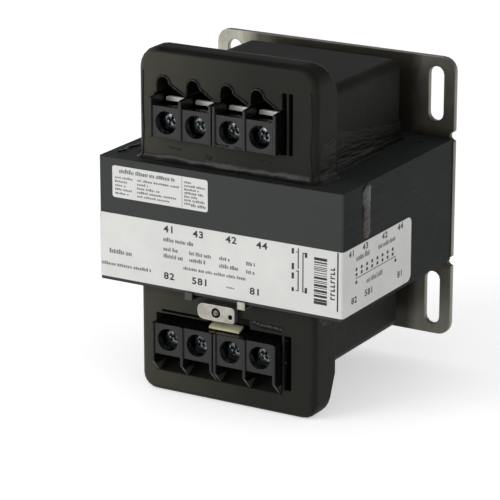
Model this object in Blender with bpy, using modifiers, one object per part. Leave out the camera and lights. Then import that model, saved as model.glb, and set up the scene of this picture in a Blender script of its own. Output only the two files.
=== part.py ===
"""Panel-mounted control transformer, at its real size.

Frame: the origin is the middle of the mounting plate's back face. X runs to the right along the
front, Y runs into the panel (the transformer stands out along -Y), and Z is up. Metres.
"""

import math

import bmesh
import bpy

MM = 0.001

# Clearances
SEAT = 0.3 * MM             # between faces that touch on the real product
SLIDE = 0.4 * MM            # round pieces that move or drop in

# Mounting plate
PLATE_WIDTH = 96.0 * MM
PLATE_HEIGHT = 101.6 * MM
PLATE_THICKNESS = 2.0 * MM
PLATE_CORNER = 5.0 * MM
SLOT_WIDTH = 5.6 * MM
SLOT_LENGTH = 19.6 * MM
SLOT_EDGE_X = 7.3 * MM      # slots' middles from the plate's sides
SLOT_EDGE_Z = 13.4 * MM     # and from its top and bottom
NOTCH_RADIUS = 1.7 * MM     # relief at each corner of the core's back

# Laminated core: an E stack and an I stack, all from the lamination's leg
LEG = 15.875 * MM
STACK = 44.0 * MM
CORE_EDGE = 1.0 * MM        # rounding of the front upright edges
WELD_WIDTH = 6.2 * MM
WELD_HEIGHT = 0.9 * MM
WELD_END = 0.6 * MM

# Coil
FORMER_WALL = 1.4 * MM
FLANGE = 1.6 * MM
FORMER_RADIUS = 1.2 * MM
PRIMARY_BUILD = 5.0 * MM
INSULATION = 0.8 * MM
SECONDARY_BUILD = 3.6 * MM
FLANGE_LAP = 0.5 * MM       # flange beyond the outer winding

# Covers
FACE_SETBACK = 5.0 * MM     # from the core's front to the covers' faces
COVER_LENGTH = 67.4 * MM
COVER_WIDTH = 62.0 * MM
COVER_EDGE = 3.6 * MM
TOP_COVER_RISE = 28.3 * MM
BOTTOM_COVER_RISE = 25.9 * MM
HEAD_WIDTH = 69.2 * MM
TOP_HEAD_RISE = 39.2 * MM
BOTTOM_HEAD_RISE = 39.4 * MM
TOP_HEAD_CORNER = 7.5 * MM
BOTTOM_HEAD_CORNER = 5.5 * MM
HEAD_EDGE = 2.6 * MM
HEAD_TIP_DEPTH = 9.0 * MM
HEAD_ROOT_DEPTH = 14.5 * MM
CAVITY_CLEARANCE = 0.4 * MM

# Terminal strips
STRIP_X = -3.1 * MM         # the strips sit a little left of the middle
TOP_STRIP_RISE = 14.6 * MM  # screw axes above the core
BOTTOM_STRIP_RISE = 18.7 * MM
BLOCK_PROUD = 3.6 * MM      # block fronts ahead of the cover's face
BLOCK_DEPTH = 12.4 * MM
BLOCK_FACE = 11.2 * MM      # height of the front wall
BLOCK_WALL = 3.2 * MM       # front wall
POLE_PITCH = 11.65 * MM
BARRIER = 1.2 * MM
BARRIER_PROUD = 0.6 * MM
BARRIER_REACH = 2.8 * MM    # straight run past the front wall, on the wire side
WELL_RADIUS = 3.9 * MM
CAGE_WIDTH = 10.2 * MM
CAGE_DEPTH = 6.4 * MM
CAGE_FLOOR = 4.5 * MM       # below the screw's axis

# Screws, pressure plates and terminal bars
SCREW_HEAD_RADIUS = 3.5 * MM
SCREW_HEAD_HEIGHT = 2.4 * MM
SCREW_HEAD_EDGE = 0.35 * MM
SCREW_SHANK_RADIUS = 1.9 * MM
SCREW_LENGTH = 5.2 * MM
SCREW_SINK = 3.6 * MM       # head below the block's front
DRIVER_SLOT = 1.0 * MM
DRIVER_DEPTH = 1.1 * MM
DRIVER_TURN = 65.0          # degrees, how the first screw was left; each next one is turned further
DRIVER_TURN_STEP = 40.0
HOLE_CLEARANCE = 0.3 * MM
CLAMP_WIDTH = 8.8 * MM
CLAMP_BELOW = 3.9 * MM
CLAMP_ABOVE = 5.0 * MM
CLAMP_THICKNESS = 1.2 * MM
BAR_WIDTH = 9.4 * MM
BAR_BELOW = 4.1 * MM
BAR_ABOVE = 7.1 * MM
BAR_THICKNESS = 1.5 * MM
METAL_EDGE = 0.5 * MM

# Openings round the strips
ARCH_RADIUS = 2.7 * MM
ARCH_SHIFT = -3.0 * MM      # from the pole's middle
ARCH_RISE = 12.5 * MM       # arch centre above the screw's axis
POCKET_SHOULDER = 9.0 * MM  # pocket's edge between the arches
RAMP_REACH = 13.2 * MM      # where the wire ramp meets the face, from the screw's axis
RAMP_START = 6.4 * MM
KEYWAY_WIDTH = 1.4 * MM     # each of the two keyways at the top strip's right end
KEYWAY_RIB = 0.9 * MM
KEYWAY_DEPTH = 7.5 * MM
WIDE_KEYWAY = 2.6 * MM      # the one keyway beside the lower strip
TOP_KEYWAY_REACH = 15.0 * MM
BOTTOM_KEYWAY_REACH = 11.2 * MM
SLIT_HEIGHT = 2.5 * MM      # slit over the lower strip
SLIT_RIB = 0.6 * MM
THIN_SLIT = 0.8 * MM        # second, thinner slit over the first, left of the link
THIN_SLIT_DEPTH = 2.0 * MM
THIN_SLIT_MARGIN = 2.2 * MM

# Fuse link
LINK_X = -2.5 * MM          # strap's middle
STRAP_WIDTH = 14.8 * MM
STRAP_HEIGHT = 5.9 * MM
STRAP_DEPTH = 2.6 * MM
STRAP_SHEET = 0.8 * MM
STRAP_LEFT_CORNER = 2.4 * MM
STRAP_RIGHT_CORNER = 1.2 * MM
STRAP_RISE = 5.9 * MM       # strap's middle from the core
STRAP_HOLE = 1.7 * MM       # radius, round the rivet
TEST_HOLE = 0.8 * MM        # radius of the small hole at the strap's right
TEST_HOLE_X = 5.7 * MM      # from the strap's middle
TEST_HOLE_DROP = 0.6 * MM
RIVET_RADIUS = 1.1 * MM
RIVET_DEPTH = 4.0 * MM
LINK_RECESS_LEFT = 4.6 * MM     # from the strap's middle
LINK_RECESS_RIGHT = 11.7 * MM
LINK_RECESS_DEPTH = 3.0 * MM
LINK_RECESS_LAP = 1.6 * MM      # recess reaching up behind the strap
STRIP_WIDTH = 12.0 * MM
STRIP_SHIFT = 1.8 * MM          # strip's middle from the strap's middle
STRIP_PROUD = 0.4 * MM          # strip's foot ahead of the cover's face
STRIP_THICKNESS = 0.8 * MM
STRIP_SLOPE = 20.0              # degrees, falling towards the front
TAB_MIDDLE = -1.0 * MM
TAB_SPACING = 20.7 * MM
TAB_WIDTH = 3.0 * MM
TAB_HEIGHT = 2.7 * MM
TAB_SHEET = 0.8 * MM
TAB_DEPTH = 2.8 * MM            # leg's length inside the cover
TAB_DROP = 1.8 * MM             # tab's foot below the core

# Labels
LABEL_THICKNESS = 0.25 * MM
MAIN_LABEL_TOP = 2.2 * MM
MAIN_LABEL_BOTTOM = -20.8 * MM
MAIN_LABEL_SIDE = 48.6 * MM
MAIN_LABEL_MARGIN = 0.3 * MM
MAIN_LABEL_CORNER = 2.5 * MM
SMALL_LABEL_LEFT = -42.0 * MM
SMALL_LABEL_RIGHT = -4.0 * MM
SMALL_LABEL_TOP = 19.4 * MM
SMALL_LABEL_BOTTOM = 8.2 * MM

# Places worked out from the sizes above
SLOT_X = PLATE_WIDTH / 2 - SLOT_EDGE_X
SLOT_Z = PLATE_HEIGHT / 2 - SLOT_EDGE_Z
CORE_WIDTH = 6 * LEG
CORE_BACK = -(PLATE_THICKNESS + SEAT)
WINDOW_BACK = CORE_BACK - LEG
E_FRONT = CORE_BACK - 4 * LEG
I_BACK = E_FRONT - SEAT
CORE_FRONT = I_BACK - LEG
CORE_TOP = STACK / 2
WINDOW_MIDDLE = (WINDOW_BACK + I_BACK) / 2
WINDOW_LENGTH = WINDOW_BACK - I_BACK
FACE_Y = CORE_FRONT + FACE_SETBACK
BLOCK_FRONT = FACE_Y - BLOCK_PROUD
BLOCK_BACK = BLOCK_FRONT + BLOCK_DEPTH
BLOCK_WIDTH = 2 * POLE_PITCH + BARRIER
BLOCK_HALF = BLOCK_FACE / 2
HEAD_Y = BLOCK_FRONT + SCREW_SINK
CLAMP_Y = HEAD_Y + SCREW_HEAD_HEIGHT + SEAT
BAR_Y = CLAMP_Y + CLAMP_THICKNESS + SEAT
CAGE_Y = BLOCK_FRONT + BLOCK_WALL
SHANK_END = HEAD_Y + SCREW_HEAD_HEIGHT + SCREW_LENGTH
POCKET_BACK = BLOCK_BACK + SEAT
POCKET_LEFT = STRIP_X - BLOCK_WIDTH - 1.5 * SEAT
POCKET_RIGHT = STRIP_X + BLOCK_WIDTH + 1.5 * SEAT
TOP_STRIP_Z = CORE_TOP + TOP_STRIP_RISE
BOTTOM_STRIP_Z = -CORE_TOP - BOTTOM_STRIP_RISE


def clear_scene():
    for item in list(bpy.data.objects):
        bpy.data.objects.remove(item, do_unlink=True)


def new_collection(name):
    collection = bpy.data.collections.new(name)
    bpy.context.scene.collection.children.link(collection)
    return collection


def new_material(name, colour, roughness, metallic=0.0):
    material = bpy.data.materials.new(name)
    material.use_nodes = True
    shader = material.node_tree.nodes["Principled BSDF"]
    shader.inputs["Base Color"].default_value = (*colour, 1.0)
    shader.inputs["Roughness"].default_value = roughness
    shader.inputs["Metallic"].default_value = metallic
    return material


def add_object(name, mesh, collection, location=(0.0, 0.0, 0.0)):
    item = bpy.data.objects.new(name, mesh)
    item.location = location
    collection.objects.link(item)
    return item


def box(name, collection, low, high):
    """An upright box between two corners, with its origin in its middle."""
    size = [b - a for a, b in zip(low, high)]
    middle = [(a + b) / 2 for a, b in zip(low, high)]
    mesh = bpy.data.meshes.new(name)
    shape = bmesh.new()
    bmesh.ops.create_cube(shape, size=1.0)
    bmesh.ops.scale(shape, vec=size, verts=shape.verts)
    shape.to_mesh(mesh)
    shape.free()
    return add_object(name, mesh, collection, middle)


def rod(name, collection, radius, start, end, x, z, sides=24):
    """A cylinder along Y from start to end."""
    mesh = bpy.data.meshes.new(name)
    shape = bmesh.new()
    bmesh.ops.create_cone(shape, cap_ends=True, segments=sides, radius1=radius, radius2=radius, depth=end - start)
    shape.to_mesh(mesh)
    shape.free()
    item = add_object(name, mesh, collection, (x, (start + end) / 2, z))
    item.rotation_euler = (math.pi / 2, 0.0, 0.0)
    return item


# A flat outline lies in one of these planes and is drawn out along the axis it is named for
PLANES = {
    "X": ((math.pi / 2, 0.0, math.pi / 2), lambda middle: (middle, 0.0, 0.0)),
    "Y": ((math.pi / 2, 0.0, 0.0), lambda middle: (0.0, middle, 0.0)),
    "Z": ((0.0, 0.0, 0.0), lambda middle: (0.0, 0.0, middle)),
}


def prism(name, collection, axis, start, end, outlines):
    """Draws closed outlines (the first with the others as holes) out along an axis.

    Outline points are (y, z) for X, (x, z) for Y and (x, y) for Z.
    """
    curve = bpy.data.curves.new(name, "CURVE")
    curve.dimensions = "2D"
    curve.fill_mode = "BOTH"
    curve.extrude = abs(end - start) / 2
    for outline in outlines:
        spline = curve.splines.new("POLY")
        spline.points.add(len(outline) - 1)
        for point, (u, v) in zip(spline.points, outline):
            point.co = (u, v, 0.0, 1.0)
        spline.use_cyclic_u = True
    drawn = bpy.data.objects.new(name + "_outline", curve)
    collection.objects.link(drawn)
    turn, place = PLANES[axis]
    drawn.rotation_euler = turn
    drawn.location = place((start + end) / 2)
    bpy.context.view_layer.update()
    mesh = bpy.data.meshes.new_from_object(drawn.evaluated_get(bpy.context.evaluated_depsgraph_get()))
    shape = bmesh.new()
    shape.from_mesh(mesh)
    bmesh.ops.remove_doubles(shape, verts=shape.verts, dist=1e-6)
    if len(outlines) == 1:
        bmesh.ops.dissolve_limit(shape, angle_limit=0.001, verts=shape.verts, edges=shape.edges)
    bmesh.ops.recalc_face_normals(shape, faces=shape.faces)
    shape.to_mesh(mesh)
    shape.free()
    item = bpy.data.objects.new(name, mesh)
    item.matrix_world = drawn.matrix_world.copy()
    collection.objects.link(item)
    bpy.data.objects.remove(drawn, do_unlink=True)
    return item


def arc(centre, radius, first, last, steps):
    """Points of an arc, angles in degrees."""
    points = []
    for step in range(steps + 1):
        angle = math.radians(first + (last - first) * step / steps)
        points.append((centre[0] + radius * math.cos(angle), centre[1] + radius * math.sin(angle)))
    return points


def rounded_rectangle(low, high, radii, steps=5):
    """Corners in order: lower left, lower right, upper right, upper left."""
    corners = [(low[0], low[1], 1, 1, 180), (high[0], low[1], -1, 1, 270),
               (high[0], high[1], -1, -1, 0), (low[0], high[1], 1, -1, 90)]
    points = []
    for (x, y, inward_x, inward_y, first), radius in zip(corners, radii):
        if radius > 0:
            centre = (x + inward_x * radius, y + inward_y * radius)
            points += arc(centre, radius, first, first + 90, steps)
        else:
            points.append((x, y))
    return points


def obround(x, z, width, length, steps=6):
    """An upright slot outline."""
    radius = width / 2
    rise = length / 2 - radius
    return arc((x, z + rise), radius, 0, 180, steps) + arc((x, z - rise), radius, 180, 360, steps)


def combine(target, tool, operation="DIFFERENCE"):
    change = target.modifiers.new(operation.title(), "BOOLEAN")
    change.operation = operation
    change.object = tool
    tool.hide_render = True
    tool.display_type = "WIRE"


def bevel(target, width, segments=2, angle=30.0):
    change = target.modifiers.new("Bevel", "BEVEL")
    change.width = width
    change.segments = segments
    change.limit_method = "ANGLE"
    change.angle_limit = math.radians(angle)


def bevel_chosen(target, width, segments, chosen):
    """Bevels the edges whose two world points pass a test."""
    mesh = target.data
    weights = mesh.attributes.new("bevel_weight_edge", "FLOAT", "EDGE")
    for edge in mesh.edges:
        ends = [target.matrix_world @ mesh.vertices[index].co for index in edge.vertices]
        weights.data[edge.index].value = 1.0 if chosen(*ends) else 0.0
    change = target.modifiers.new("Bevel", "BEVEL")
    change.width = width
    change.segments = segments
    change.limit_method = "WEIGHT"


def finish(item, material, smooth=False):
    item.data.materials.clear()
    item.data.materials.append(material)
    if smooth:
        item.data.shade_smooth()
        item.data.set_sharp_from_angle(angle=math.radians(35))


def mounting_plate(parts, cutters, steel):
    half_x = PLATE_WIDTH / 2
    half_z = PLATE_HEIGHT / 2
    outline = rounded_rectangle((-half_x, -half_z), (half_x, half_z), [PLATE_CORNER] * 4)
    slots = [obround(x * SLOT_X, z * SLOT_Z, SLOT_WIDTH, SLOT_LENGTH) for x in (-1, 1) for z in (-1, 1)]
    plate = prism("mounting_plate", parts, "Y", -PLATE_THICKNESS, 0.0, [outline, *slots])
    for x in (-1, 1):
        for z in (-1, 1):
            notch = rod("notch_cutter", cutters, NOTCH_RADIUS, -2 * PLATE_THICKNESS, PLATE_THICKNESS,
                        x * half_x, z * (CORE_TOP + NOTCH_RADIUS / 2), sides=12)
            combine(plate, notch)
    finish(plate, steel)


def core(parts, paint, weld):
    half = CORE_WIDTH / 2
    e_outline = [(-half, CORE_BACK), (-half, E_FRONT), (-2 * LEG, E_FRONT), (-2 * LEG, WINDOW_BACK),
                 (-LEG, WINDOW_BACK), (-LEG, E_FRONT), (LEG, E_FRONT), (LEG, WINDOW_BACK),
                 (2 * LEG, WINDOW_BACK), (2 * LEG, E_FRONT), (half, E_FRONT), (half, CORE_BACK)]
    e_stack = prism("core_e_stack", parts, "Z", -CORE_TOP, CORE_TOP, [e_outline])
    finish(e_stack, paint)
    i_outline = rounded_rectangle((-half, CORE_FRONT), (half, I_BACK), [CORE_EDGE, CORE_EDGE, 0, 0], steps=4)
    i_stack = prism("core_i_stack", parts, "Z", -CORE_TOP, CORE_TOP, [i_outline])
    finish(i_stack, paint, smooth=True)
    joint = (E_FRONT + I_BACK) / 2
    for name, side, bottom in (("core_weld_right", 1, MAIN_LABEL_TOP + SEAT), ("core_weld_left", -1, -CORE_TOP)):
        bead = [(side * (half + SEAT + WELD_HEIGHT * math.sin(math.radians(turn))),
                 joint + WELD_WIDTH / 2 * math.cos(math.radians(turn))) for turn in range(0, 181, 20)]
        run = prism(name, parts, "Z", bottom + WELD_END, CORE_TOP - WELD_END, [bead])
        finish(run, weld, smooth=True)


def ring(name, parts, material, inner, build, radius, half_length):
    """A winding layer: a rounded square tube round the centre leg, inner is its half sizes."""
    outer = [size + build for size in inner]
    hole = rounded_rectangle([-size for size in inner], inner, [radius] * 4, steps=3)
    rim = rounded_rectangle([-size for size in outer], outer, [radius + build] * 4, steps=3)
    layer = prism(name, parts, "Y", WINDOW_MIDDLE - half_length, WINDOW_MIDDLE + half_length, [rim, hole])
    finish(layer, material, smooth=True)
    return outer


def coil_layers():
    """Half sizes of each layer's inside, from the former outwards, and the flange's half sizes."""
    former = [LEG + SLIDE, CORE_TOP + SLIDE]
    primary = [size + FORMER_WALL + SEAT for size in former]
    insulation = [size + PRIMARY_BUILD + SEAT for size in primary]
    secondary = [size + INSULATION + SEAT for size in insulation]
    flange = [size + SECONDARY_BUILD + FLANGE_LAP for size in secondary]
    return former, primary, insulation, secondary, flange


def coil(parts, cutters, plastic, copper, paper):
    former, primary, insulation, secondary, flange = coil_layers()
    half_length = WINDOW_LENGTH / 2 - SLIDE
    winding_length = half_length - FLANGE - SEAT
    body = ring("coil_former", parts, plastic, former, FORMER_WALL, FORMER_RADIUS, half_length)
    spool = bpy.data.objects["coil_former"]
    for side in (-1, 1):
        face = WINDOW_MIDDLE + side * half_length
        inside = face - side * FLANGE
        rim = rounded_rectangle([-size for size in flange], flange, [FORMER_RADIUS] * 4, steps=3)
        hole = rounded_rectangle([-size for size in body], body, [FORMER_RADIUS] * 4, steps=3)
        cheek = prism("flange_tool", cutters, "Y", min(face, inside), max(face, inside), [rim, shrink(hole)])
        combine(spool, cheek, "UNION")
    radius = FORMER_RADIUS + FORMER_WALL + SEAT
    ring("primary_winding", parts, copper, primary, PRIMARY_BUILD, radius, winding_length)
    radius += PRIMARY_BUILD + SEAT
    ring("winding_insulation", parts, paper, insulation, INSULATION, radius, winding_length)
    radius += INSULATION + SEAT
    ring("secondary_winding", parts, copper, secondary, SECONDARY_BUILD, radius, winding_length)


def shrink(outline):
    """Draws an outline's points a quarter of the former's wall towards the middle, for a sound union."""
    step = FORMER_WALL / 4
    return [(x - math.copysign(step, x), z - math.copysign(step, z)) for x, z in outline]


def pole_places(z):
    """X and Z of a strip's four screw axes."""
    middle = (BLOCK_WIDTH + SEAT) / 2
    return [(STRIP_X + block * middle + pole * POLE_PITCH / 2, z) for block in (-1, 1) for pole in (-1, 1)]


def cover(name, parts, cutters, plastic, side, rise, head_rise, corner):
    """A coil cover with its terminal head; side is 1 above the core and -1 below it."""
    foot = side * (CORE_TOP + SEAT)
    shoulder = side * (CORE_TOP + rise)
    tip = side * (CORE_TOP + head_rise)
    back = FACE_Y + COVER_LENGTH

    def upright(outline):
        return [(x, side * z) for x, z in outline]

    half = COVER_WIDTH / 2
    shell = upright(rounded_rectangle((-half, abs(foot)), (half, abs(shoulder)), [0, 0, COVER_EDGE, COVER_EDGE]))
    body = prism(name, parts, "Y", FACE_Y + HEAD_TIP_DEPTH / 2, back, [shell])
    bpy.context.view_layer.update()
    bevel_chosen(body, COVER_EDGE / 2, 2,
                 lambda a, b: min(a.y, b.y) > back - MM and max(abs(a.z), abs(b.z)) > abs(foot) + MM)

    half = HEAD_WIDTH / 2
    front = upright(rounded_rectangle((-half, abs(foot) - 2 * HEAD_EDGE), (half, abs(tip)),
                                      [0, 0, corner, corner]))
    head = prism("head_tool", cutters, "Y", FACE_Y, FACE_Y + 2 * HEAD_ROOT_DEPTH, [front])
    bevel(head, HEAD_EDGE, segments=3, angle=40)
    profile = [(FACE_Y - MM, foot), (FACE_Y - MM, tip + side * MM), (FACE_Y + HEAD_TIP_DEPTH, tip + side * MM),
               (FACE_Y + HEAD_TIP_DEPTH, tip), (FACE_Y + HEAD_ROOT_DEPTH, shoulder), (FACE_Y + HEAD_ROOT_DEPTH, foot)]
    trim = prism("head_profile", cutters, "X", -HEAD_WIDTH, HEAD_WIDTH, [profile])
    combine(head, trim, "INTERSECT")
    combine(body, head, "UNION")

    flange = coil_layers()[-1]
    hollow_half = flange[0] + CAVITY_CLEARANCE
    hollow_z = sorted((side * CORE_TOP / 2, side * (flange[1] + CAVITY_CLEARANCE)))
    hollow = box("coil_hollow", cutters, (-hollow_half, I_BACK - SEAT, hollow_z[0]),
                 (hollow_half, WINDOW_BACK + SEAT, hollow_z[1]))
    combine(body, hollow)
    finish(body, plastic, smooth=True)
    return body


def keyway(body, cutters, start, width, low, high):
    """An upright groove right of a strip, start is measured from the block pocket's edge."""
    left = POCKET_RIGHT + start
    combine(body, box("keyway_tool", cutters, (left, FACE_Y - MM, low), (left + width, FACE_Y + KEYWAY_DEPTH, high)))


def top_openings(body, cutters):
    """The block pocket and the four wire arches above it."""
    z = TOP_STRIP_Z
    low = z - BLOCK_HALF - SEAT
    shoulder = z + POCKET_SHOULDER
    pocket = box("pocket_tool", cutters, (POCKET_LEFT, FACE_Y - MM, low), (POCKET_RIGHT, POCKET_BACK, shoulder))
    combine(body, pocket)
    for x, _ in pole_places(z):
        middle = x + ARCH_SHIFT
        arch = arc((middle, z + ARCH_RISE), ARCH_RADIUS, 0, 180, 10)
        arch += [(middle - ARCH_RADIUS, shoulder - MM), (x + CAGE_WIDTH / 2, shoulder - MM),
                 (x + CAGE_WIDTH / 2, shoulder)]
        combine(body, prism("arch_tool", cutters, "Y", FACE_Y - MM, POCKET_BACK, [arch]))
    keyway(body, cutters, -SEAT, KEYWAY_WIDTH + SEAT, low, z + TOP_KEYWAY_REACH)
    keyway(body, cutters, KEYWAY_WIDTH + KEYWAY_RIB, KEYWAY_WIDTH, low, z + TOP_KEYWAY_REACH)


def bottom_openings(body, cutters):
    """The block pocket with the wire ramp under it, the slits over it and the recess round the link."""
    z = BOTTOM_STRIP_Z
    top = z + BLOCK_HALF + SLIT_HEIGHT
    profile = [(FACE_Y - MM, top), (POCKET_BACK, top), (POCKET_BACK, z - RAMP_START),
               (FACE_Y, z - RAMP_REACH), (FACE_Y - MM, z - RAMP_REACH)]
    combine(body, prism("pocket_tool", cutters, "X", POCKET_LEFT, POCKET_RIGHT, [profile]))
    recess = (LINK_X - LINK_RECESS_LEFT, LINK_X + LINK_RECESS_RIGHT)
    strap_foot = -CORE_TOP - STRAP_RISE - STRAP_HEIGHT / 2
    combine(body, box("link_recess_tool", cutters, (recess[0], FACE_Y - MM, top - MM),
                      (recess[1], FACE_Y + LINK_RECESS_DEPTH, strap_foot + LINK_RECESS_LAP)))
    combine(body, box("thin_slit_tool", cutters, (POCKET_LEFT + THIN_SLIT_MARGIN, FACE_Y - MM, top + SLIT_RIB),
                      (recess[0] + MM, FACE_Y + THIN_SLIT_DEPTH, top + SLIT_RIB + THIN_SLIT)))
    keyway(body, cutters, KEYWAY_RIB, WIDE_KEYWAY, z - BOTTOM_KEYWAY_REACH, top)


def barrier_outline(z, side, above):
    """Side view of a barrier: proud of the front wall, and sloped off on the wire side."""
    proud = BLOCK_FRONT - BARRIER_PROUD
    outline = [(proud, -BLOCK_HALF), (proud, BLOCK_HALF + BARRIER_REACH)]
    if above:
        outline += [(FACE_Y + SEAT, POCKET_SHOULDER - SEAT), (BLOCK_BACK, POCKET_SHOULDER - SEAT)]
    else:
        ramp_back = RAMP_START + (RAMP_REACH - RAMP_START) * SEAT / (POCKET_BACK - FACE_Y)
        outline += [(FACE_Y, RAMP_REACH - SLIDE), (BLOCK_BACK, ramp_back - SLIDE)]
    outline.append((BLOCK_BACK, -BLOCK_HALF))
    return [(y, z + side * w) for y, w in outline]


def terminal_block(name, parts, cutters, plastic, x, z, side):
    """A two-pole block: front wall with two driver wells, barriers, and cages open on the wire side."""
    half = BLOCK_WIDTH / 2
    low, high = z - BLOCK_HALF, z + BLOCK_HALF
    block = box(name, parts, (x - half, BLOCK_FRONT, low), (x + half, BLOCK_BACK, high))
    outline = barrier_outline(z, side, above=side > 0)
    for number in (-1, 0, 1):
        middle = x + number * POLE_PITCH
        barrier = prism("barrier_tool", cutters, "X", middle - BARRIER / 2, middle + BARRIER / 2, [outline])
        combine(block, barrier, "UNION")
    for number in (-1, 1):
        pole = x + number * POLE_PITCH / 2
        reach = sorted((z - side * CAGE_FLOOR, z + side * (BLOCK_HALF + MM)))
        cage = box("cage_tool", cutters, (pole - CAGE_WIDTH / 2, CAGE_Y, reach[0]),
                   (pole + CAGE_WIDTH / 2, CAGE_Y + CAGE_DEPTH, reach[1]))
        combine(block, cage)
        combine(block, rod("well_tool", cutters, WELL_RADIUS, BLOCK_FRONT - MM, CAGE_Y + MM, pole, z))
        combine(block, rod("bore_tool", cutters, SCREW_SHANK_RADIUS + HOLE_CLEARANCE, CAGE_Y,
                           SHANK_END + HOLE_CLEARANCE, pole, z, sides=16))
    finish(block, plastic, smooth=True)


def screw(name, parts, cutters, steel, x, z, turn):
    """A pan-head screw turned about its axis, its head towards the front, with a driver slot."""
    edge = SCREW_HEAD_EDGE
    length = SCREW_HEAD_HEIGHT + SCREW_LENGTH
    profile = [(0.0, 0.0), (SCREW_HEAD_RADIUS - edge, 0.0), (SCREW_HEAD_RADIUS, -edge),
               (SCREW_HEAD_RADIUS, -SCREW_HEAD_HEIGHT), (SCREW_SHANK_RADIUS, -SCREW_HEAD_HEIGHT),
               (SCREW_SHANK_RADIUS, edge - length), (SCREW_SHANK_RADIUS - edge, -length), (0.0, -length)]
    mesh = bpy.data.meshes.new(name)
    points = [(radius, 0.0, height) for radius, height in profile]
    mesh.from_pydata(points, [(number, number + 1) for number in range(len(points) - 1)], [])
    item = add_object(name, mesh, parts, (x, HEAD_Y, z))
    item.rotation_euler = (math.pi / 2, 0.0, 0.0)
    spin = item.modifiers.new("Screw", "SCREW")
    spin.axis = "Z"
    spin.steps = 16
    spin.render_steps = 16
    spin.use_merge_vertices = True
    spin.merge_threshold = 1e-6
    spin.use_smooth_shade = True
    slot = box("driver_tool", cutters, (-DRIVER_SLOT / 2, -MM, -2 * SCREW_HEAD_RADIUS),
               (DRIVER_SLOT / 2, DRIVER_DEPTH, 2 * SCREW_HEAD_RADIUS))
    slot.location.x += x
    slot.location.y += HEAD_Y
    slot.location.z += z
    slot.rotation_euler = (0.0, math.radians(turn), 0.0)
    combine(item, slot)
    finish(item, steel)


def drilled_plate(name, parts, cutters, metal, x, z, front, thickness, width, below, above, side):
    """A small plate across the screw, with its origin on the screw's axis."""
    low, high = sorted((-side * below, side * above))
    outline = rounded_rectangle((x - width / 2, z + low), (x + width / 2, z + high), [METAL_EDGE] * 4, steps=2)
    hole = [(x + u, z + v) for u, v in arc((0.0, 0.0), SCREW_SHANK_RADIUS + HOLE_CLEARANCE, 0, 360 * 15 / 16, 15)]
    plate = prism(name, parts, "Y", front, front + thickness, [outline, hole])
    move_origin(plate, (x, front, z))
    finish(plate, metal)


def move_origin(item, place):
    """Sets an unparented object's origin without moving its points."""
    bpy.context.view_layer.update()
    item.data.transform(item.matrix_world)
    item.matrix_world.identity()
    item.data.transform(item.matrix_world.Translation([-value for value in place]))
    item.location = place


def terminals(row, parts, cutters, steel, tin, z, side):
    for number, (x, _) in enumerate(pole_places(z), start=1):
        turn = DRIVER_TURN + DRIVER_TURN_STEP * (number - 1)
        screw(f"{row}_screw_{number}", parts, cutters, steel, x, z, turn)
        drilled_plate(f"{row}_clamp_{number}", parts, cutters, tin, x, z, CLAMP_Y, CLAMP_THICKNESS,
                      CLAMP_WIDTH, CLAMP_BELOW, CLAMP_ABOVE, side)
        drilled_plate(f"{row}_bar_{number}", parts, cutters, tin, x, z, BAR_Y, BAR_THICKNESS,
                      BAR_WIDTH, BAR_BELOW, BAR_ABOVE, side)


def blocks(row, parts, cutters, plastic, z, side):
    middle = (BLOCK_WIDTH + SEAT) / 2
    for name, place in (("left", -1), ("right", 1)):
        terminal_block(f"{row}_block_{name}", parts, cutters, plastic, STRIP_X + place * middle, z, side)


def fuse_link(parts, cutters, cover_body, tin, brass, fibre):
    """The link strap on the lower cover, its rivet, the strip under it and the two clip tabs."""
    middle_z = -CORE_TOP - STRAP_RISE
    low = (LINK_X - STRAP_WIDTH / 2, middle_z - STRAP_HEIGHT / 2)
    high = (LINK_X + STRAP_WIDTH / 2, middle_z + STRAP_HEIGHT / 2)
    back = FACE_Y - SEAT
    front = back - STRAP_DEPTH
    corners = [STRAP_LEFT_CORNER, STRAP_RIGHT_CORNER, STRAP_RIGHT_CORNER, STRAP_LEFT_CORNER]
    strap = prism("link_strap", parts, "Y", front, back, [rounded_rectangle(low, high, corners, steps=4)])
    inside = rounded_rectangle([value + STRAP_SHEET for value in low], [value - STRAP_SHEET for value in high],
                               [corner - STRAP_SHEET for corner in corners], steps=4)
    combine(strap, prism("strap_hollow", cutters, "Y", front + STRAP_SHEET, back + MM, [inside]))
    combine(strap, rod("strap_hole", cutters, STRAP_HOLE, front - MM, back, LINK_X, middle_z, 16))
    combine(strap, rod("test_hole", cutters, TEST_HOLE, front - MM, back, LINK_X + TEST_HOLE_X,
                       middle_z - TEST_HOLE_DROP, 12))
    finish(strap, tin, smooth=True)

    rivet = rod("strap_rivet", parts, RIVET_RADIUS, front, FACE_Y + RIVET_DEPTH, LINK_X, middle_z, 16)
    finish(rivet, brass, smooth=True)
    combine(cover_body, rod("rivet_bore", cutters, RIVET_RADIUS + HOLE_CLEARANCE, FACE_Y - MM,
                            FACE_Y + RIVET_DEPTH + HOLE_CLEARANCE, LINK_X, middle_z, 16))

    insulating_strip(parts, fibre)
    for name, place in (("clip_tab_left", -1), ("clip_tab_right", 1)):
        clip_tab(name, parts, cutters, cover_body, tin, TAB_MIDDLE + place * TAB_SPACING / 2)


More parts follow.
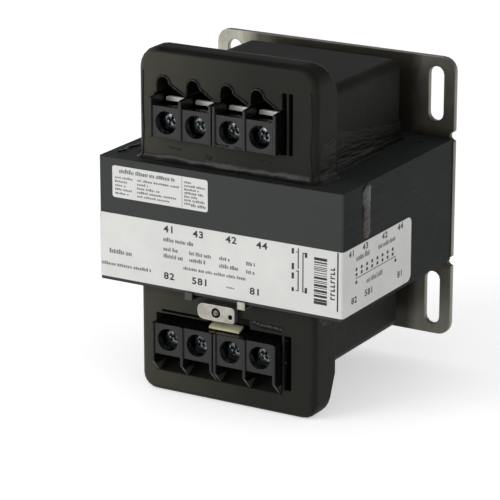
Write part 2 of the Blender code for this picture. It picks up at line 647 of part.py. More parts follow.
def insulating_strip(parts, fibre):
    """A fibre strip that slopes down out of the link's recess onto the tops of the lower blocks."""
    foot = (FACE_Y - STRIP_PROUD, BOTTOM_STRIP_Z + BLOCK_HALF + SEAT)
    reach = STRIP_PROUD + LINK_RECESS_DEPTH - SEAT
    rise = reach * math.tan(math.radians(STRIP_SLOPE))
    upright = STRIP_THICKNESS / math.cos(math.radians(STRIP_SLOPE))
    profile = [foot, (foot[0] + reach, foot[1] + rise), (foot[0] + reach, foot[1] + rise + upright),
               (foot[0], foot[1] + upright)]
    middle = LINK_X + STRIP_SHIFT
    strip = prism("insulating_strip", parts, "X", middle - STRIP_WIDTH / 2, middle + STRIP_WIDTH / 2, [profile])
    finish(strip, fibre)


def clip_tab(name, parts, cutters, cover_body, tin, x):
    """A bent tab: a leg out of a notch in the cover's foot, turned up in front of the core's lower edge."""
    foot = -CORE_TOP - TAB_DROP
    top = foot + TAB_HEIGHT
    back = CORE_FRONT - SEAT
    leg_end = FACE_Y + TAB_DEPTH
    profile = [(back - TAB_SHEET, top), (back - TAB_SHEET, foot), (leg_end, foot),
               (leg_end, foot + TAB_SHEET), (back, foot + TAB_SHEET), (back, top)]
    tab = prism(name, parts, "X", x - TAB_WIDTH / 2, x + TAB_WIDTH / 2, [profile])
    finish(tab, tin)
    notch = box("tab_notch", cutters, (x - TAB_WIDTH / 2 - SEAT, FACE_Y - MM, foot - SEAT),
                (x + TAB_WIDTH / 2 + SEAT, leg_end + SEAT, -CORE_TOP))
    combine(cover_body, notch)


def labels(parts, paper):
    half = CORE_WIDTH / 2
    inner = SEAT
    outer = SEAT + LABEL_THICKNESS
    front = CORE_FRONT
    end = CORE_FRONT + MAIN_LABEL_SIDE
    left = -half + MAIN_LABEL_MARGIN
    centre = (half - CORE_EDGE, CORE_FRONT + CORE_EDGE)
    outline = [(left, front - inner), (left, front - outer)]
    outline += arc(centre, CORE_EDGE + outer, 270, 360, 5)
    outline += [(half + outer, end), (half + inner, end)]
    outline += arc(centre, CORE_EDGE + inner, 360, 270, 5)
    main = prism("main_label", parts, "Z", MAIN_LABEL_BOTTOM, MAIN_LABEL_TOP, [outline])
    bpy.context.view_layer.update()
    bevel_chosen(main, MAIN_LABEL_CORNER, 4,
                 lambda a, b: min(a.y, b.y) > end - MM / 10 and abs(a.z - b.z) < MM / 10)
    finish(main, paper, smooth=True)
    small = box("small_label", parts, (SMALL_LABEL_LEFT, front - outer, SMALL_LABEL_BOTTOM),
                (SMALL_LABEL_RIGHT, front - inner, SMALL_LABEL_TOP))
    finish(small, paper)


def main():
    clear_scene()
    parts = new_collection("control_transformer")
    cutters = new_collection("control_transformer_cutters")
    paint = new_material("core_paint", (0.040, 0.042, 0.042), 0.45)
    weld = new_material("painted_weld", (0.055, 0.050, 0.045), 0.6)
    plate_steel = new_material("plate_steel", (0.30, 0.30, 0.27), 0.45, 0.7)
    plastic = new_material("moulding", (0.030, 0.030, 0.027), 0.5)
    former = new_material("former_plastic", (0.25, 0.22, 0.16), 0.6)
    copper = new_material("enamelled_wire", (0.45, 0.14, 0.05), 0.35, 0.8)
    insulation = new_material("insulation_paper", (0.55, 0.45, 0.28), 0.8)
    steel = new_material("screw_steel", (0.20, 0.21, 0.21), 0.3, 1.0)
    tin = new_material("tinned_metal", (0.75, 0.75, 0.70), 0.3, 1.0)
    brass = new_material("rivet_brass", (0.50, 0.45, 0.30), 0.35, 1.0)
    fibre = new_material("insulating_fibre", (0.42, 0.39, 0.26), 0.6)
    paper = new_material("label_paper", (0.78, 0.78, 0.76), 0.45)

    mounting_plate(parts, cutters, plate_steel)
    core(parts, paint, weld)
    coil(parts, cutters, former, copper, insulation)
    top = cover("top_cover", parts, cutters, plastic, 1, TOP_COVER_RISE, TOP_HEAD_RISE, TOP_HEAD_CORNER)
    top_openings(top, cutters)
    bottom = cover("bottom_cover", parts, cutters, plastic, -1, BOTTOM_COVER_RISE, BOTTOM_HEAD_RISE,
                   BOTTOM_HEAD_CORNER)
    bottom_openings(bottom, cutters)

    for row, z, side in (("top", TOP_STRIP_Z, 1), ("bottom", BOTTOM_STRIP_Z, -1)):
        blocks(row, parts, cutters, plastic, z, side)
        terminals(row, parts, cutters, steel, tin, z, side)
    fuse_link(parts, cutters, bottom, tin, brass, fibre)
    labels(parts, paper)


if __name__ == "__main__":
    main()
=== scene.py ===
"""Looks of the panel-mounted control transformer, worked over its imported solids.

Each operator builds one piece or group of like pieces and hides the solids it stands for. Lengths
are in metres in the part's own frame: X runs along the front, -Y towards the viewer, Z is up, and
the origin is the middle of the mounting plate's back.
"""

import math
import random

import bmesh
import bpy
from bpy.props import FloatProperty, FloatVectorProperty, IntProperty, PointerProperty
from bpy.types import Operator, Panel, PropertyGroup
from mathutils import Matrix, Vector, noise


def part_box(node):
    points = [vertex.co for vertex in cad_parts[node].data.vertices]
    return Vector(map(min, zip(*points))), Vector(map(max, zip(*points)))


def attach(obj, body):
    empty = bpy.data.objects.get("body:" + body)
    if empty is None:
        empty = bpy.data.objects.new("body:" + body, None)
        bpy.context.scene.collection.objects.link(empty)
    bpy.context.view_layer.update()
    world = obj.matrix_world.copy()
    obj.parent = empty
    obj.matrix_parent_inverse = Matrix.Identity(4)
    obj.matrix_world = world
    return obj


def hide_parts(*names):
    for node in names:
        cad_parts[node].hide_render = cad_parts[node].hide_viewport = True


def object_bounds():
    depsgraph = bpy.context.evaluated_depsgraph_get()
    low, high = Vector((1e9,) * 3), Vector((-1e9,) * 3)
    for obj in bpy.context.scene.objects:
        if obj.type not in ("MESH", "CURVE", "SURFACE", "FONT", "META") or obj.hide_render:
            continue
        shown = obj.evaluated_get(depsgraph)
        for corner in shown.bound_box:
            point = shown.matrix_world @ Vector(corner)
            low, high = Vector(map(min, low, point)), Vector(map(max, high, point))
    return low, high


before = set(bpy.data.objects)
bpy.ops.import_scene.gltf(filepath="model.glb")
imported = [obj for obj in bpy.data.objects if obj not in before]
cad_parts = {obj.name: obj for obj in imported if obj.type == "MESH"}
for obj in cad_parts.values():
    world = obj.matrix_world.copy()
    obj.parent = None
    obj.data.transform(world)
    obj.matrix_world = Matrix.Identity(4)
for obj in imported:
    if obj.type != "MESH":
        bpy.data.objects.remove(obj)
CAD_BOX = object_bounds()

bl_info = {
    "name": "Control transformer",
    "version": (1, 0, 0),
    "blender": (4, 5, 0),
    "location": "View3D > Sidebar > Transformer",
    "description": "Builds the dressed pieces of a panel-mounted control transformer",
    "category": "Add Mesh",
}

MM = 0.001
BODY = "transformer"
ROWS = ("top", "bottom")
POLES = (1, 2, 3, 4)


def corners(node):
    """A solid's low and high corner."""
    return [Vector(corner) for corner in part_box(node)]


# Places read from the solids
CORE_LOW, CORE_HIGH = corners("core_i_stack")
STACK_LOW, STACK_HIGH = corners("core_e_stack")
COVER_LOW, COVER_HIGH = corners("top_cover")
PLATE_HIGH = corners("mounting_plate")[1]
LABEL_LOW, LABEL_HIGH = corners("main_label")
NOTE_LOW, NOTE_HIGH = corners("small_label")
CORE_HALF = CORE_HIGH.x
CORE_FRONT = CORE_LOW.y
LEG = CORE_HALF / 3
FACE_Y = COVER_LOW.y
HEAD_HALF = COVER_HIGH.x
FLOOR_Z = CAD_BOX[0][2]

# Half widths of the covers' bodies and of the rows of poles, depth and edge rounding of the terminal heads
BODY_HALF = 31.0 * MM
POLES_HALF = 26.0 * MM
HEAD_ROOT = 14.5 * MM
HEAD_EDGE = 2.6 * MM

# Rounding of the core's front edges, and the label film's thickness in millimetres and gap to the core
CORE_EDGE = 1.0 * MM
FILM_THICK = 0.14
FILM_LIFT = 0.06 * MM

# The rubbed ridge along the back of the top head, and how its slope leans back
RIDGE_Y = -67.97 * MM
RIDGE_LEAN = 0.505


def linear(code):
    """An sRGB hex colour as linear red, green and blue."""
    values = [int(code[place:place + 2], 16) / 255 for place in (1, 3, 5)]
    return tuple(v / 12.92 if v <= 0.04045 else ((v + 0.055) / 1.055) ** 2.4 for v in values)


def tint(code, words):
    return FloatVectorProperty(name=words, subtype="COLOR", size=3, min=0, max=1, default=linear(code))


def measure(millimetres, words):
    return FloatProperty(name=words, unit="LENGTH", precision=5, min=0, default=millimetres * MM)


class TransformerColours(PropertyGroup):
    """Colours of the finishes."""
    enamel: tint("#202322", "Dark grey enamel on the laminations")
    # Painted sheen: the lighter colour laid on the core's front for the light it catches there
    edges: tint("#414442", "The duller coat on the sheared front edges")
    zinc: tint("#a5a297", "Dull zinc of the mounting plate")
    # Partly real varnish, partly painted shade beside the core and cover and towards the plate's right
    varnish: tint("#3a382f", "Varnish film on the plate beside the core")
    phenolic: tint("#181815", "Moulded phenolic of the coil covers")
    # Painted sheen: the lighter colour laid on the heads' fronts for the light they face
    matt: tint("#242420", "Duller skin on the fronts of the heads")
    # Painted sheen on the left of the covers, and painted highlight on the blocks' low ends
    painted_sheen: tint("#4a493f", "Greyer coat where the varnish drained off")
    block: tint("#0d0e0e", "Moulding of the terminal blocks")
    resin: tint("#12110e", "Varnish run out along the covers' feet")
    film: tint("#e3e3e0", "White film of the labels")
    ink: tint("#2f3131", "Marks printed on the labels")
    grey_ink: tint("#77797a", "Rows of small type on the labels")
    tin: tint("#f4f2ea", "Tinned terminal bars")
    strap: tint("#a9a69c", "Dull tin of the fuse link")
    tab: tint("#4e4e49", "Dulled fuse tab")
    clamp: tint("#b4b2a9", "Dull zinc of the pressure plates")
    screw: tint("#6c7275", "Dark zinc of the terminal screws")
    fibre: tint("#c6c2a4", "Vulcanised fibre strip")


class TransformerSizes(PropertyGroup):
    """Sizes of the detail."""
    sheet: measure(0.5, "Pitch of the core's laminations")
    sheet_gap: measure(0.02, "Open line between two laminations")
    sheet_shift: measure(0.008, "How far a lamination may stand out of line")
    seed: IntProperty(name="Seed", description="Seed of the laminations' places", default=4)
    moulded_edge: measure(0.28, "Rounding of the mouldings' edges")
    rim_bead: measure(0.52, "Thickness of the varnish set on the wire arches' rims")
    metal_edge: measure(0.15, "Rounding of the small metal pieces' edges")
    plate_edge: measure(0.3, "Rounding of the sheet plate's edges")
    resin_leg: measure(1.7, "Reach of the run resin along the front")
    skirt: measure(13.0, "Height of the wrinkled resin beside the head")
    skirt_end: measure(6.0, "Height of the wrinkled resin at the back")
    slot_width: measure(0.75, "Width of the screws' driver slot")
    thread_pitch: measure(0.8, "Pitch of the screws' thread")
    film_thickness: measure(FILM_THICK, "Thickness of the label film")


def give(item, **values):
    """Sets several of a thing's values, and hands it back."""
    for name, value in values.items():
        setattr(item, name, value)
    return item


def feed(node, inputs):
    """Sets a node's inputs to numbers, colours or other nodes' outputs, or to a list of outputs."""
    for name, value in inputs.items():
        socket = node.inputs[name]
        for item in value if isinstance(value, list) else [value]:
            if isinstance(item, Value):
                item = item.socket
            if isinstance(item, bpy.types.NodeSocket):
                node.id_data.links.new(item, socket)
            elif socket.type == "RGBA":
                socket.default_value = (*item[:3], 1.0)
            else:
                socket.default_value = item


def add(tree, kind, inputs=None, **settings):
    """Adds a node with its settings and inputs."""
    node = give(tree.nodes.new(kind), **settings)
    feed(node, inputs or {})
    return node


def result(tree, kind, inputs=None, **settings):
    """The first output of an added node."""
    return Value(add(tree, kind, inputs, **settings).outputs[0])


def mixed(tree, factor, first, second):
    """Two colours mixed by a factor."""
    return Value(add(tree, "ShaderNodeMix", {0: factor, 6: first, 7: second}, data_type="RGBA").outputs[2])


class Value:
    """A node's output, on which sums can be done."""

    def __init__(self, socket):
        self.socket = socket

    def math(self, operation, other=0.0):
        return result(self.socket.id_data, "ShaderNodeMath", {0: self, 1: other}, operation=operation)

    def __add__(self, other):
        return self.math("ADD", other)

    def __sub__(self, other):
        return self.math("SUBTRACT", other)

    def __rsub__(self, other):
        return result(self.socket.id_data, "ShaderNodeMath", {0: other, 1: self}, operation="SUBTRACT")

    def __mul__(self, other):
        return self.math("MULTIPLY", other)

    def __truediv__(self, other):
        return self.math("DIVIDE", other)

    def __abs__(self):
        return self.math("ABSOLUTE")

    def most(self, other):
        return self.math("MAXIMUM", other)

    def ramp(self, low, high, first=0.0, last=1.0):
        """Follows the value from one range to another, and stays at the end beyond it."""
        return result(self.socket.id_data, "ShaderNodeMapRange",
                      {"Value": self, "From Min": low, "From Max": high, "To Min": first, "To Max": last})

    def fall(self, low, high):
        """1 up to the low value, 0 from the high one on."""
        return self.ramp(low, high, 1.0, 0.0)

    def near_edge(self, edge):
        """1 close inside an edge, 0 further in."""
        return self.ramp(edge - 0.3 * MM, edge - 0.05 * MM)


def shade(colour, factor):
    return tuple(min(1.0, channel * factor) for channel in colour)


class Finish:
    """A material whose colour, gloss and relief vary in Object coordinates; sizes are in millimetres."""

    def __init__(self, name, tones, patch, grain, rough, relief, metallic=0.0, specular=0.5,
                 stretch=(1, 1, 1)):
        self.colours = bpy.context.scene.transformer_colours
        self.material = give(bpy.data.materials.new(name), use_nodes=True)
        self.tree = self.material.node_tree
        self.shader = self.tree.nodes["Principled BSDF"]
        feed(self.shader, {"Metallic": metallic, "Specular IOR Level": specular})
        self.place = add(self.tree, "ShaderNodeTexCoord").outputs["Object"]
        self.x, self.y, self.z = map(Value, add(self.tree, "ShaderNodeSeparateXYZ", {0: self.place}).outputs)
        self.patches = self.noise(patch, 4.0, stretch)
        grains = self.noise(grain, 3.0, stretch)
        light, dark = self.two_tones(*tones)
        self.colour = mixed(self.tree, self.patches.ramp(0.38, 0.62), dark, light)
        self.gloss = grains.ramp(0.3, 0.7, *rough)
        self.bump = result(self.tree, "ShaderNodeBump", {"Height": grains, "Distance": relief * MM})

    def two_tones(self, base, *more):
        """Light and dark, from two hex colours or from one of the scene's colours and two factors."""
        if base.startswith("#"):
            return linear(base), linear(more[0])
        return [shade(getattr(self.colours, base), factor) for factor in more]

    def noise(self, size, detail, stretch=(1, 1, 1)):
        place = result(self.tree, "ShaderNodeMapping", {"Vector": self.place, "Scale": stretch})
        return result(self.tree, "ShaderNodeTexNoise",
                      {"Vector": place, "Scale": 1.0 / (size * MM), "Detail": detail, "Roughness": 0.6})

    def blend(self, factor, colour):
        """Lays another colour over the finish's own."""
        self.colour = mixed(self.tree, factor, self.colour, colour)

    def relief(self, height, distance):
        """Adds another height over the finish's own bump."""
        self.bump = result(self.tree, "ShaderNodeBump",
                           {"Height": height, "Distance": distance * MM, "Normal": self.bump})

    def done(self):
        feed(self.shader, {"Base Color": self.colour, "Roughness": self.gloss, "Normal": self.bump})
        return self.material


# What each finish has besides its patches and grain
def enamel_marks(finish):
    streaks = finish.noise(24, 3.0, (1, 1, 22))
    # Painted sheen: the front face and its rounding are lightened for the light they catch
    finish.blend(finish.y.fall(CORE_FRONT + 0.3 * MM, CORE_FRONT + 0.9 * MM), finish.colours.edges)
    # Painted light: the end sheets at top and bottom are made paler, lifting the top faces that the lamps
    # leave dark
    finish.blend(abs(finish.z).near_edge(CORE_HIGH.z), shade(finish.colours.enamel, 1.7))
    finish.blend(streaks.ramp(0.4, 0.75, 0.0, 0.12), shade(finish.colours.edges, 1.3))
    finish.relief(streaks, 0.06)


def zinc_marks(finish):
    across, upward = abs(finish.x), abs(finish.z)
    beside_core = (across - CORE_HALF).most(upward - CORE_HIGH.z)
    reach = beside_core.math("MINIMUM", across - BODY_HALF)
    # Dark beside the core and cover: partly varnish wetting, partly painted shade
    varnish_and_shade = (reach + finish.patches * (4 * MM)).ramp(2 * MM, 11 * MM, 0.95, 0.0)
    # Painted shade, growing towards the plate's right for light falling from the left
    painted_side_light = finish.x.ramp(-36 * MM, 8 * MM, 0.0, 0.5)
    cut_edge = across.near_edge(PLATE_HIGH.x).most(upward.near_edge(PLATE_HIGH.z))
    finish.blend(varnish_and_shade.most(painted_side_light) * (1.0 - cut_edge), finish.colours.varnish)
    finish.blend(cut_edge * 0.5, shade(finish.colours.zinc, 0.3))


def beside_poles(finish):
    """1 beyond the rows of poles."""
    return abs(finish.x).ramp(POLES_HALF, POLES_HALF + 4 * MM)


def phenolic_marks(finish):
    outside = beside_poles(finish)
    front = finish.y.fall(FACE_Y + 0.4 * MM, FACE_Y + 2.0 * MM)
    face = (front * outside).most(finish.y.fall(FACE_Y + 0.1 * MM, FACE_Y + 0.5 * MM))
    # Painted sheen: the heads' front faces are lightened for the light they face
    finish.blend(face, finish.colours.matt)
    # Painted sheen: lighter to the left, for light falling from the left, in patches over the fronts and the
    # sides beyond the poles
    painted_side_light = finish.x.ramp(-HEAD_HALF, 10 * MM, 0.85, 0.0) * finish.patches.ramp(0.3, 0.7, 0.7, 1.0)
    finish.blend(painted_side_light * face.most(outside), finish.colours.painted_sheen)
    slope = finish.y + finish.z * RIDGE_LEAN
    off_ridge = abs(slope - (RIDGE_Y + RIDGE_LEAN * COVER_HIGH.z))
    ridge = off_ridge.fall(0.4 * MM, 1.0 * MM) * finish.z.ramp(COVER_HIGH.z - 8 * MM, COVER_HIGH.z - 5 * MM)
    finish.gloss = finish.gloss - ridge * 0.36
    finish.relief(finish.noise(3.2, 2.0), 0.07)


def block_marks(finish):
    low_end = -50.6 * MM
    # Painted highlight: the blocks' lowest ends are lightened for the light they catch
    finish.blend(finish.z.ramp(low_end, low_end + 0.5 * MM, 0.8, 0.0), finish.colours.painted_sheen)
    finish.relief(finish.noise(2.4, 2.0), 0.06)


def resin_marks(finish):
    upper = abs(finish.z).ramp(CORE_HIGH.z + 0.5 * MM, CORE_HIGH.z + 4 * MM, 0.0, 0.26)
    finish.gloss = finish.gloss + upper * beside_poles(finish)


def film_marks(finish):
    finish.relief(finish.noise(26, 2.0, (1, 1, 10)), 0.03)


def weld_marks(finish):
    grey_from, grey_to = 13.5 * MM, 16.0 * MM
    finish.blend(finish.z.ramp(grey_from, grey_to, 0.0, 0.5), linear("#5b5d59"))


def copper_marks(finish):
    wires = add(finish.tree, "ShaderNodeTexWave", {"Vector": finish.place, "Scale": 260}, bands_direction="Y")
    finish.relief(wires.outputs["Fac"], 0.15)


MARKS = {"enamel": enamel_marks, "zinc": zinc_marks, "phenolic": phenolic_marks, "block": block_marks,
         "resin": resin_marks, "film": film_marks, "weld": weld_marks, "copper": copper_marks}

# Material, light and dark, size of patches and of grain, range of roughness, height of relief, and the rest
FINISHES = {
    # Silicon steel sheets dipped in grey enamel: satin, painted sheen on the front, painted light on the end
    # sheets
    "enamel": ("enamelled_silicon_steel", ("enamel", 1.12, 0.86), 16, 0.9, (0.48, 0.6), 0.015,
               {"specular": 0.07}),
    # Zinc-plated sheet steel dulled by dipping: cloudy grey, dark olive by the core from varnish and painted
    # shade
    "zinc": ("dipped_zinc_steel", ("zinc", 1.1, 0.74), 9, 0.7, (0.32, 0.46), 0.012,
             {"metallic": 0.7, "specular": 0.3, "stretch": (1, 1, 0.35)}),
    # Compression-moulded phenolic under baking varnish: warm black and satin, painted sheen on the fronts and
    # left
    "phenolic": ("moulded_phenolic", ("phenolic", 1.15, 0.82), 11, 0.35, (0.46, 0.6), 0.012,
                 {"specular": 0.1}),
    # Moulded phenolic of the terminal blocks: blue-black, glossier than the covers, painted highlight on the
    # low ends
    "block": ("moulded_phenolic_blocks", ("block", 1.25, 0.8), 7, 0.35, (0.2, 0.34), 0.01,
              {"specular": 0.42}),
    # Polyester varnish that ran and set: near black with wet-looking crests, satin where it thins out
    "resin": ("run_polyester_varnish", ("resin", 1.35, 0.7), 2.6, 0.5, (0.22, 0.4), 0.02, {"specular": 0.24}),
    # Tin on brass bar: soft pale metal, with cloudy patches from handling
    "tin": ("tinned_brass_bar", ("tin", 1.08, 0.92), 2.8, 0.3, (0.32, 0.48), 0.003, {"metallic": 0.2}),
    # Tinned strip gone dark and dull
    "tab": ("dulled_fuse_tab", ("tab", 1.08, 0.72), 2.8, 0.3, (0.3, 0.5), 0.003, {"metallic": 0.85}),
    # Tin on brass strip: soft grey metal, cloudy from handling
    "strap": ("tinned_brass_strap", ("strap", 1.08, 0.8), 2.8, 0.3, (0.3, 0.48), 0.003, {"metallic": 0.85}),
    # Zinc on steel strip: soft grey metal, cloudy from handling
    "clamp": ("zinc_pressure_plate", ("clamp", 1.08, 0.75), 2.8, 0.3, (0.3, 0.5), 0.003, {"metallic": 0.6}),
    # Case-hardened steel under thin dark zinc: grey, glossy, with lighter and darker patches
    "screw": ("dark_zinc_screw_steel", ("screw", 1.4, 0.5), 1.8, 0.5, (0.2, 0.34), 0.003, {"metallic": 0.9}),
    # Brass rivet gone dull: grey-brown with a soft sheen
    "brass": ("dull_brass", ("#7a776b", "#3f3c34"), 1.2, 0.3, (0.3, 0.45), 0.01, {"metallic": 0.9}),
    # Vulcanised fibre: olive-grey, matt, with short felted fibres
    "fibre": ("vulcanised_fibre", ("fibre", 1.1, 0.75), 2.5, 0.25, (0.55, 0.7), 0.02,
              {"specular": 0.3, "stretch": (0.3, 1, 1)}),
    # Polyester label film with a matt print coat: off-white, slightly rippled over the sheet edges
    "film": ("polyester_label_film", ("film", 1.02, 0.95), 18, 0.6, (0.4, 0.5), 0.004, {"specular": 0.25}),
    # Thermal-transfer ink: soft black, thinner where the ribbon pressed lightly
    "ink": ("thermal_transfer_ink", ("ink", 1.4, 0.85), 1.1, 0.3, (0.45, 0.6), 0.002, {"specular": 0.25}),
    # The same ink in grey, for the small type
    "grey_ink": ("grey_label_ink", ("grey_ink", 1.4, 0.85), 1.1, 0.3, (0.45, 0.6), 0.002, {"specular": 0.25}),
    # Arc-weld metal under the same dip: brown-black and rough, greyer towards its upper end
    "weld": ("dipped_weld_metal", ("#3f3b32", "#201e1a"), 2.2, 0.4, (0.35, 0.6), 0.05,
             {"metallic": 0.1, "specular": 0.3}),
    # Round copper wire under red-brown enamel, laid side by side: fine ridges round the coil
    "copper": ("enamelled_copper_wire", ("#a4512c", "#6d2c16"), 5, 0.4, (0.2, 0.34), 0.01, {"metallic": 0.6}),
    # Aramid paper: buff, matt, faintly fibrous
    "paper": ("aramid_paper", ("#cdbd93", "#b09f74"), 4, 0.3, (0.7, 0.85), 0.02, {}),
    # Glass-filled nylon: brown-buff, matt from the mould
    "nylon": ("glass_filled_nylon", ("#8b7f66", "#6b604b"), 6, 0.3, (0.5, 0.65), 0.01, {}),
}
MADE = {}


def finish_of(key):
    """The named finish, made once from the scene's colours."""
    if key not in MADE:
        *numbers, more = FINISHES[key]
        finish = Finish(*numbers, **more)
        if key in MARKS:
            MARKS[key](finish)
        MADE[key] = finish.done()
    return MADE[key]


def place_object(name, data):
    item = bpy.data.objects.new(name, data)
    bpy.context.scene.collection.objects.link(item)
    return item


def taken_mesh(item):
    """The plain mesh of what an object shows; the object itself is removed."""
    bpy.context.view_layer.update()
    made = bpy.data.meshes.new_from_object(item.evaluated_get(bpy.context.evaluated_depsgraph_get()))
    bpy.data.objects.remove(item, do_unlink=True)
    return made


def coat(mesh, key):
    mesh.materials.clear()
    mesh.materials.append(finish_of(key))


def add_piece(name, mesh, finish, nodes=(), body=BODY):
    """Adds a mesh as a piece at the origin, hangs it on the body it rides on, hides the solids it stands for
    and gives it its finish.
    """
    piece = place_object(name, mesh)
    coat(mesh, finish)
    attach(piece, body)
    if nodes:
        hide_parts(*nodes)
    return piece


def to_mesh(shape, name, smooth=True):
    mesh = bpy.data.meshes.new(name)
    shape.to_mesh(mesh)
    shape.free()
    if smooth:
        mesh.shade_smooth()
    return mesh


def whole_copy(node):
    """A CAD node's mesh as one closed shape, with its flat faces whole."""
    shape = bmesh.new()
    shape.from_mesh(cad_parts[node].data)
    bmesh.ops.remove_doubles(shape, verts=shape.verts, dist=1e-6)
    bmesh.ops.dissolve_limit(shape, angle_limit=math.radians(0.5), verts=shape.verts, edges=shape.edges)
    return shape


def round_edges(piece, width, segments=2, angle=28.0, slot=-1):
    give(piece.modifiers.new("Rounded edges", "BEVEL"), material=slot, width=width, segments=segments,
         limit_method="ANGLE", angle_limit=math.radians(angle), use_clamp_overlap=False)
    piece.modifiers.new("Even shading", "WEIGHTED_NORMAL").weight = 60


def dress(node, name, finish, width, body=BODY, edge_finish=None):
    """Stands a copy of a CAD node in its place, with rounded edges that may have a finish of their own."""
    piece = add_piece(name, to_mesh(whole_copy(node), name), finish, [node], body)
    if edge_finish:
        piece.data.materials.append(finish_of(edge_finish))
    round_edges(piece, width, slot=1 if edge_finish else -1)
    return piece


def wall(shape, near, far):
    """Faces between two rings of points."""
    for index, first in enumerate(near):
        after = (index + 1) % len(near)
        shape.faces.new((first, near[after], far[after], far[index]))


def skin(rows):
    """A closed tube through rings of points."""
    shape = bmesh.new()
    rings = [[shape.verts.new(point) for point in row] for row in rows]
    for near, far in zip(rings, rings[1:]):
        wall(shape, near, far)
    shape.faces.new(rings[0])
    shape.faces.new(rings[-1])
    bmesh.ops.recalc_face_normals(shape, faces=shape.faces)
    return shape


def closed_prism(outline, low, high):
    """A closed solid drawn up from a flat outline of (x, y) points."""
    return skin([[(x, y, z) for x, y in outline] for z in (low, high)])


def arc(centre, radius, first, last, steps):
    points = []
    for step in range(steps + 1):
        turn = math.radians(first + (last - first) * step / steps)
        points.append((centre[0] + radius * math.cos(turn), centre[1] + radius * math.sin(turn)))
    return points


def new_tree(name, sockets):
    """A Geometry Nodes tree with the given inputs; gives the tree and its inputs' values by name."""
    tree = bpy.data.node_groups.new(name, "GeometryNodeTree")
    for label, kind in {"Geometry": "Geometry", **sockets}.items():
        tree.interface.new_socket(label, in_out="INPUT", socket_type="NodeSocket" + kind)
    tree.interface.new_socket("Geometry", in_out="OUTPUT", socket_type="NodeSocketGeometry")
    return tree, {socket.name: Value(socket) for socket in add(tree, "NodeGroupInput").outputs}


def end_tree(tree, geometry, material):
    real = result(tree, "GeometryNodeRealizeInstances", {"Geometry": geometry})
    painted = result(tree, "GeometryNodeSetMaterial", {"Geometry": real, "Material": material})
    add(tree, "NodeGroupOutput", {"Geometry": painted})


def run_tree(tree, mesh, values):
    """The plain mesh that a tree makes of a mesh with the given inputs."""
    item = place_object(tree.name, mesh)
    change = give(item.modifiers.new(tree.name, "NODES"), node_group=tree)
    for socket in tree.interface.items_tree:
        if socket.in_out == "INPUT" and socket.name in values:
            change[socket.identifier] = values[socket.name]
    return taken_mesh(item)


def lamination_tree():
    """Stacks copies of one sheet, each a little out of line."""
    tree, given = new_tree("lamination_stack", {"Sheets": "Int", "Pitch": "Float", "Bottom": "Float",
                                                "Shift": "Float", "Seed": "Int", "Material": "Material"})
    start, step = [result(tree, "ShaderNodeCombineXYZ", {"Z": given[name]}) for name in ("Bottom", "Pitch")]
    line = result(tree, "GeometryNodeMeshLine",
                  {"Count": given["Sheets"], "Start Location": start, "Offset": step}, mode="OFFSET")
    stack = result(tree, "GeometryNodeInstanceOnPoints", {"Points": line, "Instance": given["Geometry"]})
    chance = result(tree, "FunctionNodeRandomValue",
                    {0: (-1, -1, 0), 1: (1, 1, 0), "Seed": given["Seed"]}, data_type="FLOAT_VECTOR")
    shift = result(tree, "ShaderNodeVectorMath", {0: chance, "Scale": given["Shift"]}, operation="SCALE")
    moved = result(tree, "GeometryNodeTranslateInstances", {"Instances": stack, "Translation": shift})
    end_tree(tree, moved, given["Material"])
    return tree


class TRANSFORMER_OT_core(Operator):
    """Builds the E and I stacks from single laminations"""
    bl_idname = "transformer.core"
    bl_label = "Laminated core"

    def execute(self, context):
        sizes = context.scene.transformer_sizes
        height = CORE_HIGH.z - CORE_LOW.z
        count = round(height / sizes.sheet)
        pitch = height / count
        half, back, front = CORE_HALF, STACK_HIGH.y, STACK_LOW.y
        window = back - LEG
        e_right = [(LEG, front), (LEG, window), (2 * LEG, window), (2 * LEG, front), (half, front),
                   (half, back)]
        e_sheet = [(-x, y) for x, y in reversed(e_right)] + e_right
        i_sheet = arc((-half + CORE_EDGE, CORE_FRONT + CORE_EDGE), CORE_EDGE, 180, 270, 4)
        i_sheet += arc((half - CORE_EDGE, CORE_FRONT + CORE_EDGE), CORE_EDGE, 270, 360, 4)
        i_sheet += [(half, CORE_HIGH.y), (-half, CORE_HIGH.y)]
        tree = lamination_tree()
        for name, node, outline, seed in (("e_laminations", "core_e_stack", e_sheet, 0),
                                          ("i_laminations", "core_i_stack", i_sheet, 1)):
            sheet = to_mesh(closed_prism(outline, 0.0, pitch - sizes.sheet_gap), name, smooth=False)
            stack = run_tree(tree, sheet, {
                "Sheets": count, "Pitch": pitch, "Bottom": CORE_LOW.z + sizes.sheet_gap / 2,
                "Shift": sizes.sheet_shift, "Seed": sizes.seed + seed, "Material": finish_of("enamel")})
            stack.shade_smooth()
            stack.set_sharp_from_angle(angle=math.radians(35))
            add_piece(name, stack, "enamel", [node])
        return {"FINISHED"}


# The welds' height over the core, pitch of their ripples, reach of a blob and step between outlines
WELD_RISE = 0.55 * MM
WELD_RIPPLE = 1.9 * MM
WELD_BLOB = 1.6 * MM
WELD_STEP = 0.3 * MM


